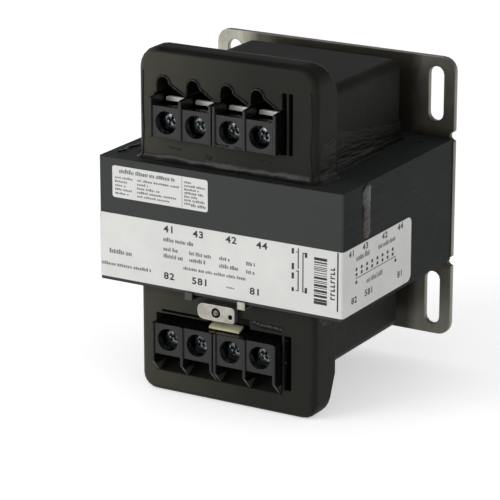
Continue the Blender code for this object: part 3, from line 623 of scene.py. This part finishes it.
class TRANSFORMER_OT_welds(Operator):
    """Builds the weld beads that join the stacks, with their ripples and end blobs"""
    bl_idname = "transformer.welds"
    bl_label = "Weld beads"

    def execute(self, context):
        for place, side in (("right", 1), ("left", -1)):
            name, node = f"weld_bead_{place}", f"core_weld_{place}"
            low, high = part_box(node)
            steps = int((high[2] - low[2]) / WELD_STEP)
            rows = [self.outline(low, high, step, steps, side) for step in range(steps + 1)]
            add_piece(name, to_mesh(skin(rows), name), "weld", [node])
        return {"FINISHED"}

    @staticmethod
    def outline(low, high, step, steps, side):
        """A bead's outline at one of its heights."""
        z = low[2] + (high[2] - low[2]) * step / steps
        joint = (low[1] + high[1]) / 2
        half_width = (high[1] - low[1]) / 2
        taper = math.sqrt(min(1.0, 0.15 + min(step, steps - step) * WELD_STEP / (2 * MM)))
        blob = 1.5 * math.exp(-(((high[2] - z) / WELD_BLOB) ** 2)) if side > 0 else 0.0
        row = []
        for turn in range(0, 181, 15):
            angle = math.radians(turn)
            chevron = abs(math.sin(math.pi * (z / WELD_RIPPLE - 0.55 * math.sin(angle))))
            rough = noise.noise(Vector((z / (2.3 * MM), turn / 40, side * 3.0)))
            swell = taper * (0.72 + 0.24 * chevron + 0.22 * rough + blob)
            spread = min(1.0, 0.8 * taper + 0.25 * rough + 0.1 * blob)
            row.append((side * (CORE_HALF + WELD_RISE * swell * math.sin(angle)),
                        joint + half_width * math.cos(angle) * spread, z))
        inside = side * (CORE_HALF - 0.1 * MM)
        return row + [(inside, row[-1][1], z), (inside, row[0][1], z)]


class TRANSFORMER_OT_plate(Operator):
    """Dresses the slotted sheet-steel plate"""
    bl_idname = "transformer.plate"
    bl_label = "Mounting plate"

    def execute(self, context):
        edge = context.scene.transformer_sizes.plate_edge
        dress("mounting_plate", "slotted_plate", "zinc", edge)
        return {"FINISHED"}


class TRANSFORMER_OT_covers(Operator):
    """Dresses the two moulded coil covers with their terminal heads"""
    bl_idname = "transformer.covers"
    bl_label = "Coil covers"

    def execute(self, context):
        edge = context.scene.transformer_sizes.moulded_edge
        for row in ROWS:
            dress(f"{row}_cover", f"{row}_coil_cover", "phenolic", edge)
        return {"FINISHED"}


def arch_rims():
    """Routes along the rims of the wire arches in the top head's face, in millimetres."""
    shape = whole_copy("top_cover")
    low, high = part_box("top_screw_1")
    lowest = (low[2] + high[2]) / 2 + 8.9 * MM
    inner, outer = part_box("top_bar_1")[0][0] - 2 * MM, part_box("top_bar_4")[1][0] + MM
    rim = [edge for edge in shape.edges if edge.calc_face_angle(0.0) > math.radians(28) and all(
        abs(vert.co.y - FACE_Y) < 0.01 * MM and vert.co.z > lowest and inner < vert.co.x < outer
        for vert in edge.verts)]
    routes = []
    while rim:
        ends = [vert for edge in rim for vert in edge.verts
                if sum(near in rim for near in vert.link_edges) == 1]
        vert = (ends or list(rim[0].verts))[0]
        route = [vert.co / MM]
        onward = True
        while onward:
            onward = [edge for edge in vert.link_edges if edge in rim]
            if onward:
                rim.remove(onward[0])
                vert = onward[0].other_vert(vert)
                if (vert.co / MM - route[-1]).length > 1.0:
                    route.append(vert.co / MM)
        if len(route) > 1:
            routes.append(route)
    shape.free()
    return routes


def foot_path(step):
    """Points round a cover's foot from its back right, with the level direction away from it."""
    right = [((BODY_HALF, y), (1, 0)) for y in span(-10 * MM, FACE_Y + HEAD_ROOT + MM, step)]
    right += [((HEAD_HALF, y), (1, 0)) for y in span(FACE_Y + HEAD_ROOT - MM, FACE_Y + HEAD_EDGE, step)]
    centre = (HEAD_HALF - HEAD_EDGE, FACE_Y + HEAD_EDGE)
    right += [(point, (math.cos(math.radians(turn)), math.sin(math.radians(turn))))
              for turn, point in zip(range(-15, -90, -15), arc(centre, HEAD_EDGE, -15, -75, 4))]
    front = [((x, FACE_Y), (0, -1)) for x in span(HEAD_HALF - HEAD_EDGE, 0.0, step)]
    half = right + front
    other = [((-x, y), (-u, v)) for (x, y), (u, v) in reversed(half[:-1])]
    return half + other


def span(first, last, step):
    count = max(1, round(abs(last - first) / step))
    return [first + (last - first) * index / count for index in range(count + 1)]


def share_of(value, low, high):
    return min(1.0, max(0.0, (value - low) / (high - low)))


# Lengths of the varnish's waves, wrinkles and specks along the foot, where its skirt ends at the back, how
# deep its hidden edge lies, and the distance in millimetres between the uneven spots of a bead
RUN_WAVE = 6 * MM
RUN_WRINKLE = 9 * MM
RUN_SPECK = 1.8 * MM
SKIRT_BACK = -12 * MM
RUN_SUNK = 0.2 * MM
BEAD_STEP = 0.6


class TRANSFORMER_OT_resin(Operator):
    """Runs varnish along the covers' feet, with the wrinkled skirt that it left up the top cover's sides"""
    bl_idname = "transformer.resin"
    bl_label = "Run resin"

    def execute(self, context):
        sizes = context.scene.transformer_sizes
        for row, up, amount in (("top", 1, 1.0), ("bottom", -1, 0.5)):
            rows = []
            along = 0.0
            before = None
            for spot, away in foot_path(0.5 * MM):
                along += (Vector(spot) - before).length if before else 0.0
                before = Vector(spot)
                rows.append(self.outline(sizes, spot, away, along, up, amount))
            name = f"{row}_run_resin"
            add_piece(name, to_mesh(skin(rows), name), "resin")
        self.drips(sizes.rim_bead / MM)
        return {"FINISHED"}

    @staticmethod
    def outline(sizes, spot, away, along, up, amount, parts=34):
        """The run's outline over one spot of the foot, from the core's face up the cover."""
        (x, y), (u, v) = spot, away
        beside = share_of(y, FACE_Y + 0.6 * MM, FACE_Y + 5 * MM)
        skirt = sizes.skirt + (sizes.skirt_end - sizes.skirt) * share_of(y, FACE_Y + HEAD_ROOT, SKIRT_BACK)
        wave = noise.noise(Vector((along / RUN_WAVE, 0.3, up * 5.0)))
        reach = amount * sizes.resin_leg * (0.85 + 0.45 * wave + 0.4 * beside)
        plain = sizes.resin_leg * (1.5 + 0.5 * wave) * (1 - beside)
        rise = amount * (plain + skirt * beside * (1 + 0.15 * wave))
        points = []
        for part in range(parts + 1):
            share = part / parts
            height = rise * share ** 1.2
            proud = reach * (1 - share) ** (2.5 + 9 * beside) + 0.1 * MM * (1 - share ** 2)
            ridge = noise.noise(Vector((along / RUN_WRINKLE, share * (1.5 + 13.0 * beside), up * 9.0)))
            speck = noise.noise(Vector((along / RUN_SPECK, height / (1.0 * MM), up * 4.0)))
            swell = (0.36 * ridge + 0.1 * speck) * MM * math.sin(share * math.pi) ** 0.5 * (1 - share ** 5)
            proud = max(proud + swell * (0.5 + 0.5 * beside), -0.03 * MM)
            points.append((proud, height))
        points += [(-RUN_SUNK, rise), (-RUN_SUNK, -RUN_SUNK / 4), (reach, -RUN_SUNK / 4)]
        return [(x + u * proud, y + v * proud, up * (CORE_HIGH.z + height)) for proud, height in points]

    def drips(self, rim_bead):
        """Beads and lumps where the varnish hung and set."""
        shape = bmesh.new()
        side = (HEAD_HALF - 2.3 * MM) / MM
        face = FACE_Y / MM
        block = face - 3.6
        foot = CORE_HIGH.z / MM
        lumps = [([(hand * side, face, foot + 31), (hand * (side + 0.4), face + 0.1, foot + 20),
                   (hand * side, face, foot + 11), (hand * (side + 0.5), face + 0.1, foot + 1)], 0.34)
                 for hand in (-1, 1)]
        lumps += [([(-2.6, block, 32.0), (0.2, block, 31.6), (3.2, block, 31.8)], 0.5),
                  ([(5.4, block, 31.7), (7.8, block, 31.5), (10.4, block, 31.9)], 0.4),
                  ([(-22.6, face, 27.4), (-19.8, face, 27.0), (-17.4, face, 26.9)], 0.35),
                  ([(-7.9, face, 26.6), (-7.2, face, 25.7), (-6.1, face, 25.6), (-5.5, face, 26.3)], 0.42),
                  ([(12.0, face, 27.6), (15.0, face, 27.2), (18.0, face, 27.4)], 0.3),
                  ([(9.8, face + 0.8, -29.4), (14.0, face + 0.8, -30.3), (18.5, face + 0.8, -30.4),
                    (22.9, face + 0.8, -30.7)], 1.3),
                  ([(20.6, face, 50.4), (21.8, face, 50.4)], 0.45),
                  ([(23.0, face, 50.7), (24.2, face, 50.7)], 0.45),
                  ([(-44.6, -75.4, foot - 0.4), (-43.4, -71.8, foot - 0.5), (-44.2, -68.0, foot - 0.4),
                    (-42.9, -64.6, foot - 0.5), (-43.6, -61.0, foot - 0.4)], 1.0),
                  ([(-38.6, -71.0, foot - 0.7), (-37.2, -67.0, foot - 0.6), (-37.6, -63.4, foot - 0.7)], 1.5),
                  ([(38.9, -11.5, foot), (40.3, -11.6, foot), (40.8, -10.2, foot), (39.6, -9.6, foot)], 0.45),
                  ([(31.4, -63.0, 24.5), (31.2, -62.0, 27.0), (31.2, -61.0, 28.6)], 0.6),
                  ([(23.2, face + 0.3, -34.6), (23.6, face + 0.2, -33.8)], 0.7),
                  ([(22.8, face + 0.4, -41.2), (23.5, face + 0.3, -42.6)], 0.55)]
        lumps += [(route, rim_bead) for route in arch_rims()]
        for seed, (route, thickness) in enumerate(lumps):
            self.bead(shape, route, thickness, seed)
        bmesh.ops.remove_doubles(shape, verts=shape.verts, dist=1e-7)
        bmesh.ops.recalc_face_normals(shape, faces=shape.faces)
        add_piece("set_varnish_beads", to_mesh(shape, "set_varnish_beads"), "resin")

    @staticmethod
    def bead(shape, route, thickness, seed):
        """An uneven bead along a route, in millimetres."""
        chance = random.Random(seed)
        curve = give(bpy.data.curves.new("bead", "CURVE"), dimensions="3D", bevel_depth=thickness * MM,
                     bevel_resolution=3, use_fill_caps=True)
        line = curve.splines.new("NURBS")
        spots = []
        for near, far in zip(route, route[1:]):
            near, far = Vector(near), Vector(far)
            count = max(1, round((far - near).length / BEAD_STEP))
            spots += [near.lerp(far, step / count) for step in range(count)]
        spots.append(Vector(route[-1]))
        line.points.add(len(spots) - 1)
        for step, (spot, point) in enumerate(zip(spots, line.points)):
            point.co = (*(spot * MM), 1.0)
            at_end = step in (0, len(spots) - 1)
            point.radius = 0.25 if at_end else 1 + chance.uniform(-0.12, 0.06) / thickness
        give(line, order_u=3, use_endpoint_u=True, resolution_u=3)
        shape.from_mesh(taken_mesh(place_object("bead", curve)))


class TRANSFORMER_OT_blocks(Operator):
    """Dresses the four terminal blocks"""
    bl_idname = "transformer.blocks"
    bl_label = "Terminal blocks"

    def execute(self, context):
        edge = context.scene.transformer_sizes.moulded_edge
        for row in ROWS:
            for side in ("left", "right"):
                dress(f"{row}_block_{side}", f"{row}_terminals_{side}", "block", edge,
                      edge_finish="resin")
        return {"FINISHED"}


def screw_tree():
    """Cuts the driver recess in a turned blank, winds the thread on it and lays it along -Y."""
    numbers = ("Slot Width", "Slot Depth", "Slot Length", "Cross Width", "Cross Length", "Cross Depth",
               "Crown", "Thread Radius", "Thread Length", "Thread Pitch", "Thread Start", "Turn")
    tree, given = new_tree("combination_screw",
                           {**dict.fromkeys(numbers, "Float"), "Place": "Vector", "Material": "Material"})
    crown, start = [result(tree, "ShaderNodeCombineXYZ", {"Z": given[name]})
                    for name in ("Crown", "Thread Start")]
    cutters = []
    for cut, turn in (("Slot", 0.0), ("Cross", 0.0), ("Cross", math.pi / 2)):
        size = result(tree, "ShaderNodeCombineXYZ", {
            "X": given[f"{cut} Length"], "Y": given[f"{cut} Width"], "Z": given[f"{cut} Depth"] * 2.0})
        block = result(tree, "GeometryNodeMeshCube", {"Size": size})
        cutters.append(result(tree, "GeometryNodeTransform",
                              {"Geometry": block, "Translation": crown, "Rotation": (0, 0, turn)}))
    head = result(tree, "GeometryNodeMeshBoolean", {"Mesh 1": given["Geometry"], "Mesh 2": cutters},
                  operation="DIFFERENCE")
    spiral = result(tree, "GeometryNodeCurveSpiral", {
        "Resolution": 18, "Rotations": given["Thread Length"] / given["Thread Pitch"],
        "Start Radius": given["Thread Radius"], "End Radius": given["Thread Radius"],
        "Height": given["Thread Length"]})
    ridge = result(tree, "GeometryNodeCurvePrimitiveCircle",
                   {"Resolution": 4, "Radius": given["Thread Pitch"] * 0.42})
    thread = result(tree, "GeometryNodeCurveToMesh",
                    {"Curve": spiral, "Profile Curve": ridge, "Fill Caps": True})
    thread = result(tree, "GeometryNodeTransform", {"Geometry": thread, "Translation": start})
    whole = result(tree, "GeometryNodeJoinGeometry", {"Geometry": [head, thread]})
    spin = result(tree, "FunctionNodeAxisAngleToRotation", {"Axis": (0, 0, 1), "Angle": given["Turn"]})
    turned = result(tree, "GeometryNodeTransform", {"Geometry": whole, "Rotation": spin})
    laid = result(tree, "GeometryNodeTransform",
                  {"Geometry": turned, "Translation": given["Place"], "Rotation": (math.pi / 2, 0, 0)})
    end_tree(tree, laid, given["Material"])
    return tree


def turned_blank(profile, sides=40):
    """A closed solid turned from (radius, height) points, from the crown's middle to the tip's."""
    shape = bmesh.new()
    turns = [math.tau * side / sides for side in range(sides)]
    top = shape.verts.new((0, 0, profile[0][1]))
    rings = [[shape.verts.new((radius * math.cos(turn), radius * math.sin(turn), height)) for turn in turns]
             for radius, height in profile[1:-1]]
    tip = shape.verts.new((0, 0, profile[-1][1]))
    for middle, ring in ((top, rings[0]), (tip, rings[-1])):
        for side in range(sides):
            shape.faces.new((middle, ring[side], ring[(side + 1) % sides]))
    for near, far in zip(rings, rings[1:]):
        wall(shape, near, far)
    bmesh.ops.recalc_face_normals(shape, faces=shape.faces)
    return shape


# Height of a screw's head, radius of its shank, chamfer of its tip, and how far round each screw was left, in
# degrees from left to right
SCREW_HEAD = 2.4 * MM
SCREW_SHANK = 1.75 * MM
SCREW_TIP = 0.5 * MM
SCREW_TURNS = {"top": (62, 48, 66, 40), "bottom": (58, 40, 72, 50)}


def screw_profile(radius, length):
    """A screw's outline, as radius and height, from its crown down to its tip."""
    chamfer = 0.12 * MM
    return [(0, 0), (radius * 0.45, -0.03 * MM), (radius * 0.78, -0.16 * MM), (radius * 0.93, -0.45 * MM),
            (radius, -0.95 * MM), (radius, -SCREW_HEAD + chamfer), (radius - chamfer, -SCREW_HEAD),
            (SCREW_SHANK, -SCREW_HEAD), (SCREW_SHANK, -length + SCREW_TIP),
            (SCREW_SHANK - SCREW_TIP, -length), (0, -length)]


class TRANSFORMER_OT_screws(Operator):
    """Builds the eight combination-head clamp screws"""
    bl_idname = "transformer.screws"
    bl_label = "Terminal screws"

    def execute(self, context):
        sizes = context.scene.transformer_sizes
        tree = screw_tree()
        for row in ROWS:
            for pole in POLES:
                node = f"{row}_screw_{pole}"
                low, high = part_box(node)
                radius = (high[0] - low[0]) / 2
                length = high[1] - low[1]
                made = run_tree(tree, to_mesh(turned_blank(screw_profile(radius, length)), node), {
                    "Slot Width": sizes.slot_width, "Slot Depth": 0.75 * MM, "Slot Length": 3 * radius,
                    "Cross Width": 0.95 * MM, "Cross Length": 3.6 * MM, "Cross Depth": 1.1 * MM, "Crown": 0.0,
                    "Thread Radius": SCREW_SHANK, "Thread Length": length - SCREW_HEAD - 1.1 * MM,
                    "Thread Pitch": sizes.thread_pitch, "Thread Start": -length + SCREW_TIP,
                    "Turn": math.radians(SCREW_TURNS[row][pole - 1]),
                    "Place": ((low[0] + high[0]) / 2, low[1], (low[2] + high[2]) / 2),
                    "Material": finish_of("screw")})
                made.shade_smooth()
                made.set_sharp_from_angle(angle=math.radians(32))
                name = f"{row}_combination_screw_{pole}"
                piece = add_piece(name, made, "screw", [node], node)
                round_edges(piece, 0.06 * MM, 1, 40)
        return {"FINISHED"}


class TRANSFORMER_OT_terminal_metal(Operator):
    """Dresses the pressure plates, terminal bars, fuse link and clip tabs"""
    bl_idname = "transformer.terminal_metal"
    bl_label = "Terminal metal"

    def execute(self, context):
        edge = context.scene.transformer_sizes.metal_edge
        for row in ROWS:
            for pole in POLES:
                plate = f"{row}_clamp_{pole}"
                dress(plate, f"{row}_pressure_plate_{pole}", "clamp", edge, body=plate)
                dress(f"{row}_bar_{pole}", f"{row}_terminal_bar_{pole}", "tin", edge)
        dress("link_strap", "fuse_link_strap", "strap", 2 * edge)
        dress("strap_rivet", "link_rivet", "brass", edge)
        dress("clip_tab_left", "fuse_tab_left", "tab", edge)
        dress("clip_tab_right", "fuse_tab_right", "strap", edge)
        dress("insulating_strip", "fibre_strip", "fibre", edge)
        return {"FINISHED"}


class TRANSFORMER_OT_coil(Operator):
    """Finishes the coil inside the core"""
    bl_idname = "transformer.coil"
    bl_label = "Coil"

    def execute(self, context):
        for node, finish in (("coil_former", "nylon"), ("primary_winding", "copper"),
                             ("secondary_winding", "copper"), ("winding_insulation", "paper")):
            coat(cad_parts[node].data, finish)
        return {"FINISHED"}


# The outer faces of the label film, how deep print sits in them and how far it stands out, in millimetres
FILM_FRONT = CORE_FRONT - FILM_LIFT - FILM_THICK * MM
FILM_SIDE = CORE_HALF + FILM_LIFT + FILM_THICK * MM
PRINT_SUNK = 0.03
PRINT_PROUD = 0.015


class Print:
    """Thin raised marks, in millimetres from the front's middle or, on the side, from the core's front."""

    def __init__(self, seed, side=False):
        self.shape = bmesh.new()
        self.chance = random.Random(seed)
        self.side = side

    def place(self, u, v, lift):
        if self.side:
            return (FILM_SIDE + lift * MM, CORE_FRONT + u * MM, v * MM)
        return (u * MM, FILM_FRONT - lift * MM, v * MM)

    def bars(self, *rows):
        """Bars, each by its lower left corner, width and height."""
        for u, v, width, height in rows:
            ring = [self.shape.verts.new(self.place(u + du, v + dv, lift))
                    for lift in (-PRINT_SUNK, PRINT_PROUD)
                    for du, dv in ((0, 0), (width, 0), (width, height), (0, height))]
            for face in ((0, 1, 2, 3), (4, 5, 6, 7), (0, 1, 5, 4), (1, 2, 6, 5), (2, 3, 7, 6), (3, 0, 4, 7)):
                self.shape.faces.new([ring[index] for index in face])

    def words(self, *rows):
        """Rows of short bars that look like small type from afar, each by its ends, foot and height."""
        for first, last, v, height in rows:
            self.line_of_type(first, last, v, height)

    def line_of_type(self, u, last, v, height):
        while u < last - 0.3:
            for _ in range(self.chance.randint(3, 8)):
                width = self.chance.uniform(0.35, 0.75)
                if u + width > last:
                    return
                self.bars((u, v, width, height * self.chance.choice((0.7, 0.7, 0.85, 1.0))))
                u += width + 0.17
            u += 0.5

    def numbers(self, height, *rows):
        """Plain numbers, each centred on its place."""
        for text, u, v in rows:
            curve = give(bpy.data.curves.new("number", "FONT"), body=text, align_x="CENTER", align_y="CENTER",
                         size=height / 0.73 * MM, space_character=1.15, offset=0.09 * MM,
                         extrude=(PRINT_SUNK + PRINT_PROUD) / 2 * MM)
            mesh = taken_mesh(place_object("number", curve))
            turn = Matrix.Rotation(math.pi / 2, 4, "X") @ Matrix.Scale(1.2, 4, (1, 0, 0))
            if self.side:
                turn = Matrix.Rotation(math.pi / 2, 4, "Z") @ turn
            mesh.transform(Matrix.Translation(self.place(u, v, (PRINT_PROUD - PRINT_SUNK) / 2)) @ turn)
            self.shape.from_mesh(mesh)

    def finish(self, name, ink="ink"):
        bmesh.ops.remove_doubles(self.shape, verts=self.shape.verts, dist=1e-7)
        bmesh.ops.recalc_face_normals(self.shape, faces=self.shape.faces)
        return add_piece(name, to_mesh(self.shape, name, smooth=False), ink)


def film(name, line, low, high, node, corner, rounded_from=-1.0):
    """A thin film drawn up along the (x, y) points that line gives, with its corners past a depth rounded."""
    thick = bpy.context.scene.transformer_sizes.film_thickness
    inner, outer = line(FILM_LIFT), line(FILM_LIFT + thick)
    shape = closed_prism(inner + list(reversed(outer)), low, high)
    ends = [edge for edge in shape.edges if edge.calc_length() < 1.1 * thick
            and abs(edge.verts[0].co.z - edge.verts[1].co.z) < 1e-6
            and all(vert.co.y > rounded_from for vert in edge.verts)]
    bmesh.ops.bevel(shape, geom=ends, offset=corner, segments=6, affect="EDGES", profile=0.5)
    mesh = to_mesh(shape, name)
    mesh.set_sharp_from_angle(angle=math.radians(35))
    return add_piece(name, mesh, "film", [node])


class TRANSFORMER_OT_labels(Operator):
    """Builds the two label films and their generic print"""
    bl_idname = "transformer.labels"
    bl_label = "Labels"

    def execute(self, context):
        centre = (CORE_HALF - CORE_EDGE, CORE_FRONT + CORE_EDGE)
        film("wrap_label",
             lambda lift: [(LABEL_LOW.x, CORE_FRONT - lift), *arc(centre, CORE_EDGE + lift, 270, 360, 10),
                           (CORE_HALF + lift, LABEL_HIGH.y)],
             LABEL_LOW.z, LABEL_HIGH.z, "main_label", 2.5 * MM, LABEL_HIGH.y - 1e-5)
        film("note_label", lambda lift: [(NOTE_LOW.x, CORE_FRONT - lift), (NOTE_HIGH.x, CORE_FRONT - lift)],
             NOTE_LOW.z, NOTE_HIGH.z, "small_label", 0.9 * MM)
        self.print_front()
        self.print_side()
        self.print_note()
        return {"FINISHED"}

    def print_front(self):
        """Numbers, rows of type, the diagram's lines and the two bar fields."""
        ink = Print(11)
        ink.numbers(2.4, ("41", -19.4, -0.2), ("43", -7.8, -0.2), ("42", 5.1, -0.1), ("44", 17.0, -0.2),
                    ("82", -19.5, -16.9), ("581", -7.2, -16.9), ("81", 14.4, -16.8))
        rows = Print(12)
        rows.words((-21.7, -9.4, -4.6, 1.5), (-21.7, -15.8, -7.9, 1.4), (-21.7, -13.4, -10.4, 1.5),
                   (-11.4, -2.7, -7.9, 1.4), (-11.4, -4.3, -10.3, 1.4), (0.4, 4.8, -7.7, 1.3),
                   (0.4, 8.0, -10.4, 1.4), (10.9, 14.5, -7.9, 1.3), (10.9, 14.5, -10.8, 1.4),
                   (-13.8, 11.0, -13.4, 1.1), (-46.8, -26.2, -16.6, 1.2), (-43.6, -34.3, -12.1, 1.7),
                   (3.2, 6.4, -17.2, 0.5))
        rows.finish("wrap_label_front_rows", "grey_ink")
        ink.bars((30.7, -5.9, 0.42, 7.2), (30.7, -13.6, 0.42, 7.2), (32.5, -13.6, 0.42, 13.4),
                 (28.4, -0.9, 0.9, 1.9), (28.4, -6.4, 0.9, 2.2), (28.4, -9.6, 0.9, 2.1),
                 (28.4, -14.0, 0.9, 1.4), (33.4, -1.6, 0.9, 1.7), (33.4, -14.0, 0.9, 1.9),
                 (32.5, -0.35, 1.6, 0.3), (32.5, -13.75, 1.6, 0.3), (30.0, -0.3, 1.1, 0.3),
                 (30.0, -13.75, 1.1, 0.3), (30.0, -6.9, 1.1, 0.3), (36.9, -1.8, 4.9, 1.0),
                 (36.9, -17.0, 4.9, 1.0), (45.55, -18.4, 0.55, 20.4))
        v = -15.9
        while v < -2.4:
            thick = ink.chance.choice((0.28, 0.28, 0.5, 0.8))
            ink.bars((36.9, v, 4.9, thick))
            v += thick + ink.chance.choice((0.28, 0.42, 0.55))
        v = -14.6
        while v < -3.2:
            ink.bars((43.1, v, 1.7, 0.45), (43.1 + ink.chance.choice((0.0, 1.25)), v + 0.45, 0.45, 0.6))
            v += 1.45
        ink.finish("wrap_label_front_print")

    def print_side(self):
        """Numbers, rows of type and the diagram's lines."""
        ink = Print(23, side=True)
        ink.numbers(2.2, ("41", 5.6, 0.2), ("43", 15.2, 0.4), ("42", 29.0, 0.4), ("44", 40.4, 0.5),
                    ("82", 7.6, -16.4), ("581", 18.0, -16.2), ("81", 40.6, -16.4))
        rows = Print(24, side=True)
        rows.words((8.9, 18.4, -3.2, 2.0), (24.4, 37.0, -3.2, 1.7), (16.2, 27.8, -12.8, 1.8))
        rows.finish("wrap_label_side_rows", "grey_ink")
        for v, step in ((-6.5, 3.7), (-8.3, 3.7), (-11.0, 28.0)):
            u = 8.4
            while u < 38:
                ink.bars((u, v, 1.3, 1.1))
                u += step
        ink.bars((8.4, -9.2, 28.8, 0.28))
        ink.finish("wrap_label_side_print")

    def print_note(self):
        """Rows of type in three columns under a heading."""
        ink = Print(37)
        ink.words((-39.2, -16.8, 17.0, 1.5))
        for row, (left, right) in enumerate(((-33.6, -15.0), (-36.0, -27.0), (-36.2, -22.5), (-33.4, -16.0),
                                             (-35.0, -19.0))):
            v = 15.0 - 1.4 * row
            ink.words((-40.9, left, v, 0.8), (-32.0, right, v, 0.8))
        for row, last in enumerate((-10.0, -4.7, -7.4, -5.2, -7.8, -4.6, -10.2)):
            ink.words((-13.2, last, 17.2 - 1.25 * row, 0.8))
        ink.words((-10.6, -4.5, 9.3, 1.1))
        ink.bars((-14.2, 8.6, 0.16, 10.4))
        ink.finish("note_label_print", "grey_ink")


# Light: the room's own level, what gloss finds overhead, the floor's share for the camera, and the lamps
ROOM_LIGHT = 0.5
CEILING = 0.2
FLOOR_GLOW = 0.48
LAMPS = (("Key softbox", (-0.75, -1.1, 0.4), 0.85, 8.2),
         ("Right fill", (1.3, -0.7, 0.5), 0.8, 1.8),
         ("Back light", (-0.3, 1.4, 0.9), 0.8, 0.3))

# The photograph's view: how far round and up in degrees, the point aimed at in millimetres and its distance
VIEW_ROUND = math.radians(30.311)
VIEW_LIFT = math.radians(17.572)
VIEW_AIM = Vector((-11.063, -42.0, -17.053)) * MM
VIEW_DISTANCE = 0.975885


def seen_rays(tree):
    """The kinds of ray, and 1 for those that come from the camera, through glass too."""
    rays = add(tree, "ShaderNodeLightPath").outputs
    return rays, Value(rays["Is Camera Ray"]).most(rays["Is Transmission Ray"])


class TRANSFORMER_OT_stage(Operator):
    """Sets the pale floor, the soft lights and the camera at the photograph's angle"""
    bl_idname = "transformer.stage"
    bl_label = "Stage"

    def execute(self, context):
        scene = context.scene
        scene.view_settings.view_transform = "Standard"
        self.camera(scene)
        self.floor()
        self.lamps()
        self.surroundings(scene)
        return {"FINISHED"}

    def camera(self, scene):
        level = math.cos(VIEW_LIFT)
        back = Vector((math.sin(VIEW_ROUND) * level, -math.cos(VIEW_ROUND) * level, math.sin(VIEW_LIFT)))
        data = give(bpy.data.cameras.new("Camera"), lens=200.0, sensor_width=36.0, clip_start=0.05,
                    clip_end=20.0)
        scene.camera = give(place_object("Camera", data), location=VIEW_AIM + back * VIEW_DISTANCE,
                            rotation_euler=back.to_track_quat("Z", "Y").to_euler())

    def floor(self):
        shape = bmesh.new()
        bmesh.ops.create_grid(shape, x_segments=8, y_segments=8, size=3.0)
        mesh = to_mesh(shape, "floor", smooth=False)
        mesh.transform(Matrix.Translation((0, 0, FLOOR_Z)))
        # White paper: matt and faintly cloudy, bright to the camera, through glass and in gloss
        material = give(bpy.data.materials.new("white_paper_sweep"), use_nodes=True)
        tree = material.node_tree
        place = add(tree, "ShaderNodeTexCoord").outputs["Object"]
        cloud = result(tree, "ShaderNodeTexNoise", {"Vector": place, "Scale": 3.0})
        rays, seen = seen_rays(tree)
        feed(tree.nodes["Principled BSDF"], {
            "Base Color": mixed(tree, cloud, linear("#f6f6f6"), linear("#fbfbfb")), "Roughness": 0.9,
            "Specular IOR Level": 0.0, "Emission Color": (1, 1, 1),
            "Emission Strength": seen.most(rays["Is Glossy Ray"]) * FLOOR_GLOW})
        mesh.materials.append(material)
        floor = place_object("floor", mesh)

    def lamps(self):
        aim = Vector((0, -0.04, 0))
        for name, place, size, power in LAMPS:
            lamp = place_object(name, give(bpy.data.lights.new(name, "AREA"), size=size, energy=power))
            back = Vector(place) - aim
            give(lamp, location=place, rotation_euler=back.to_track_quat("Z", "Y").to_euler())

    def surroundings(self, scene):
        scene.world = give(bpy.data.worlds.new("White room"), use_nodes=True)
        tree = scene.world.node_tree
        rays, seen = seen_rays(tree)
        upward = add(tree, "ShaderNodeSeparateXYZ", {0: add(tree, "ShaderNodeTexCoord").outputs["Generated"]})
        # Gloss meets the white backdrop low down and the room's darker ceiling above it
        ceiling = Value(upward.outputs["Z"]).ramp(0.04, 0.3, 1.0, CEILING)
        lit = result(tree, "ShaderNodeMix", {0: rays["Is Glossy Ray"], 2: ROOM_LIGHT, 3: ceiling},
                     data_type="FLOAT")
        level = result(tree, "ShaderNodeMix", {0: seen, 2: lit, 3: 1.0}, data_type="FLOAT")
        feed(tree.nodes["Background"], {"Strength": level, "Color": (1, 1, 1)})


class TRANSFORMER_PT_panel(Panel):
    """Lists the builders and their values in the 3D view's sidebar"""
    bl_idname = "TRANSFORMER_PT_panel"
    bl_label = "Control transformer"
    bl_space_type = "VIEW_3D"
    bl_region_type = "UI"
    bl_category = "Transformer"

    def draw(self, context):
        for operator in OPERATORS:
            self.layout.operator(operator.bl_idname)
        for group in (context.scene.transformer_sizes, context.scene.transformer_colours):
            column = self.layout.column()
            for name in group.bl_rna.properties.keys():
                if name not in ("rna_type", "name"):
                    column.prop(group, name)


OPERATORS = (TRANSFORMER_OT_stage, TRANSFORMER_OT_plate, TRANSFORMER_OT_core, TRANSFORMER_OT_welds,
             TRANSFORMER_OT_coil, TRANSFORMER_OT_covers, TRANSFORMER_OT_resin, TRANSFORMER_OT_blocks,
             TRANSFORMER_OT_screws, TRANSFORMER_OT_terminal_metal, TRANSFORMER_OT_labels)
CLASSES = (TransformerColours, TransformerSizes, *OPERATORS, TRANSFORMER_PT_panel)


def register():
    for item in CLASSES:
        bpy.utils.register_class(item)
    bpy.types.Scene.transformer_colours = PointerProperty(type=TransformerColours)
    bpy.types.Scene.transformer_sizes = PointerProperty(type=TransformerSizes)


def unregister():
    del bpy.types.Scene.transformer_sizes
    del bpy.types.Scene.transformer_colours
    for item in reversed(CLASSES):
        bpy.utils.unregister_class(item)


def main():
    register()
    for operator in OPERATORS:
        group, name = operator.bl_idname.split(".")
        getattr(getattr(bpy.ops, group), name)()


if __name__ == "__main__":
    main()
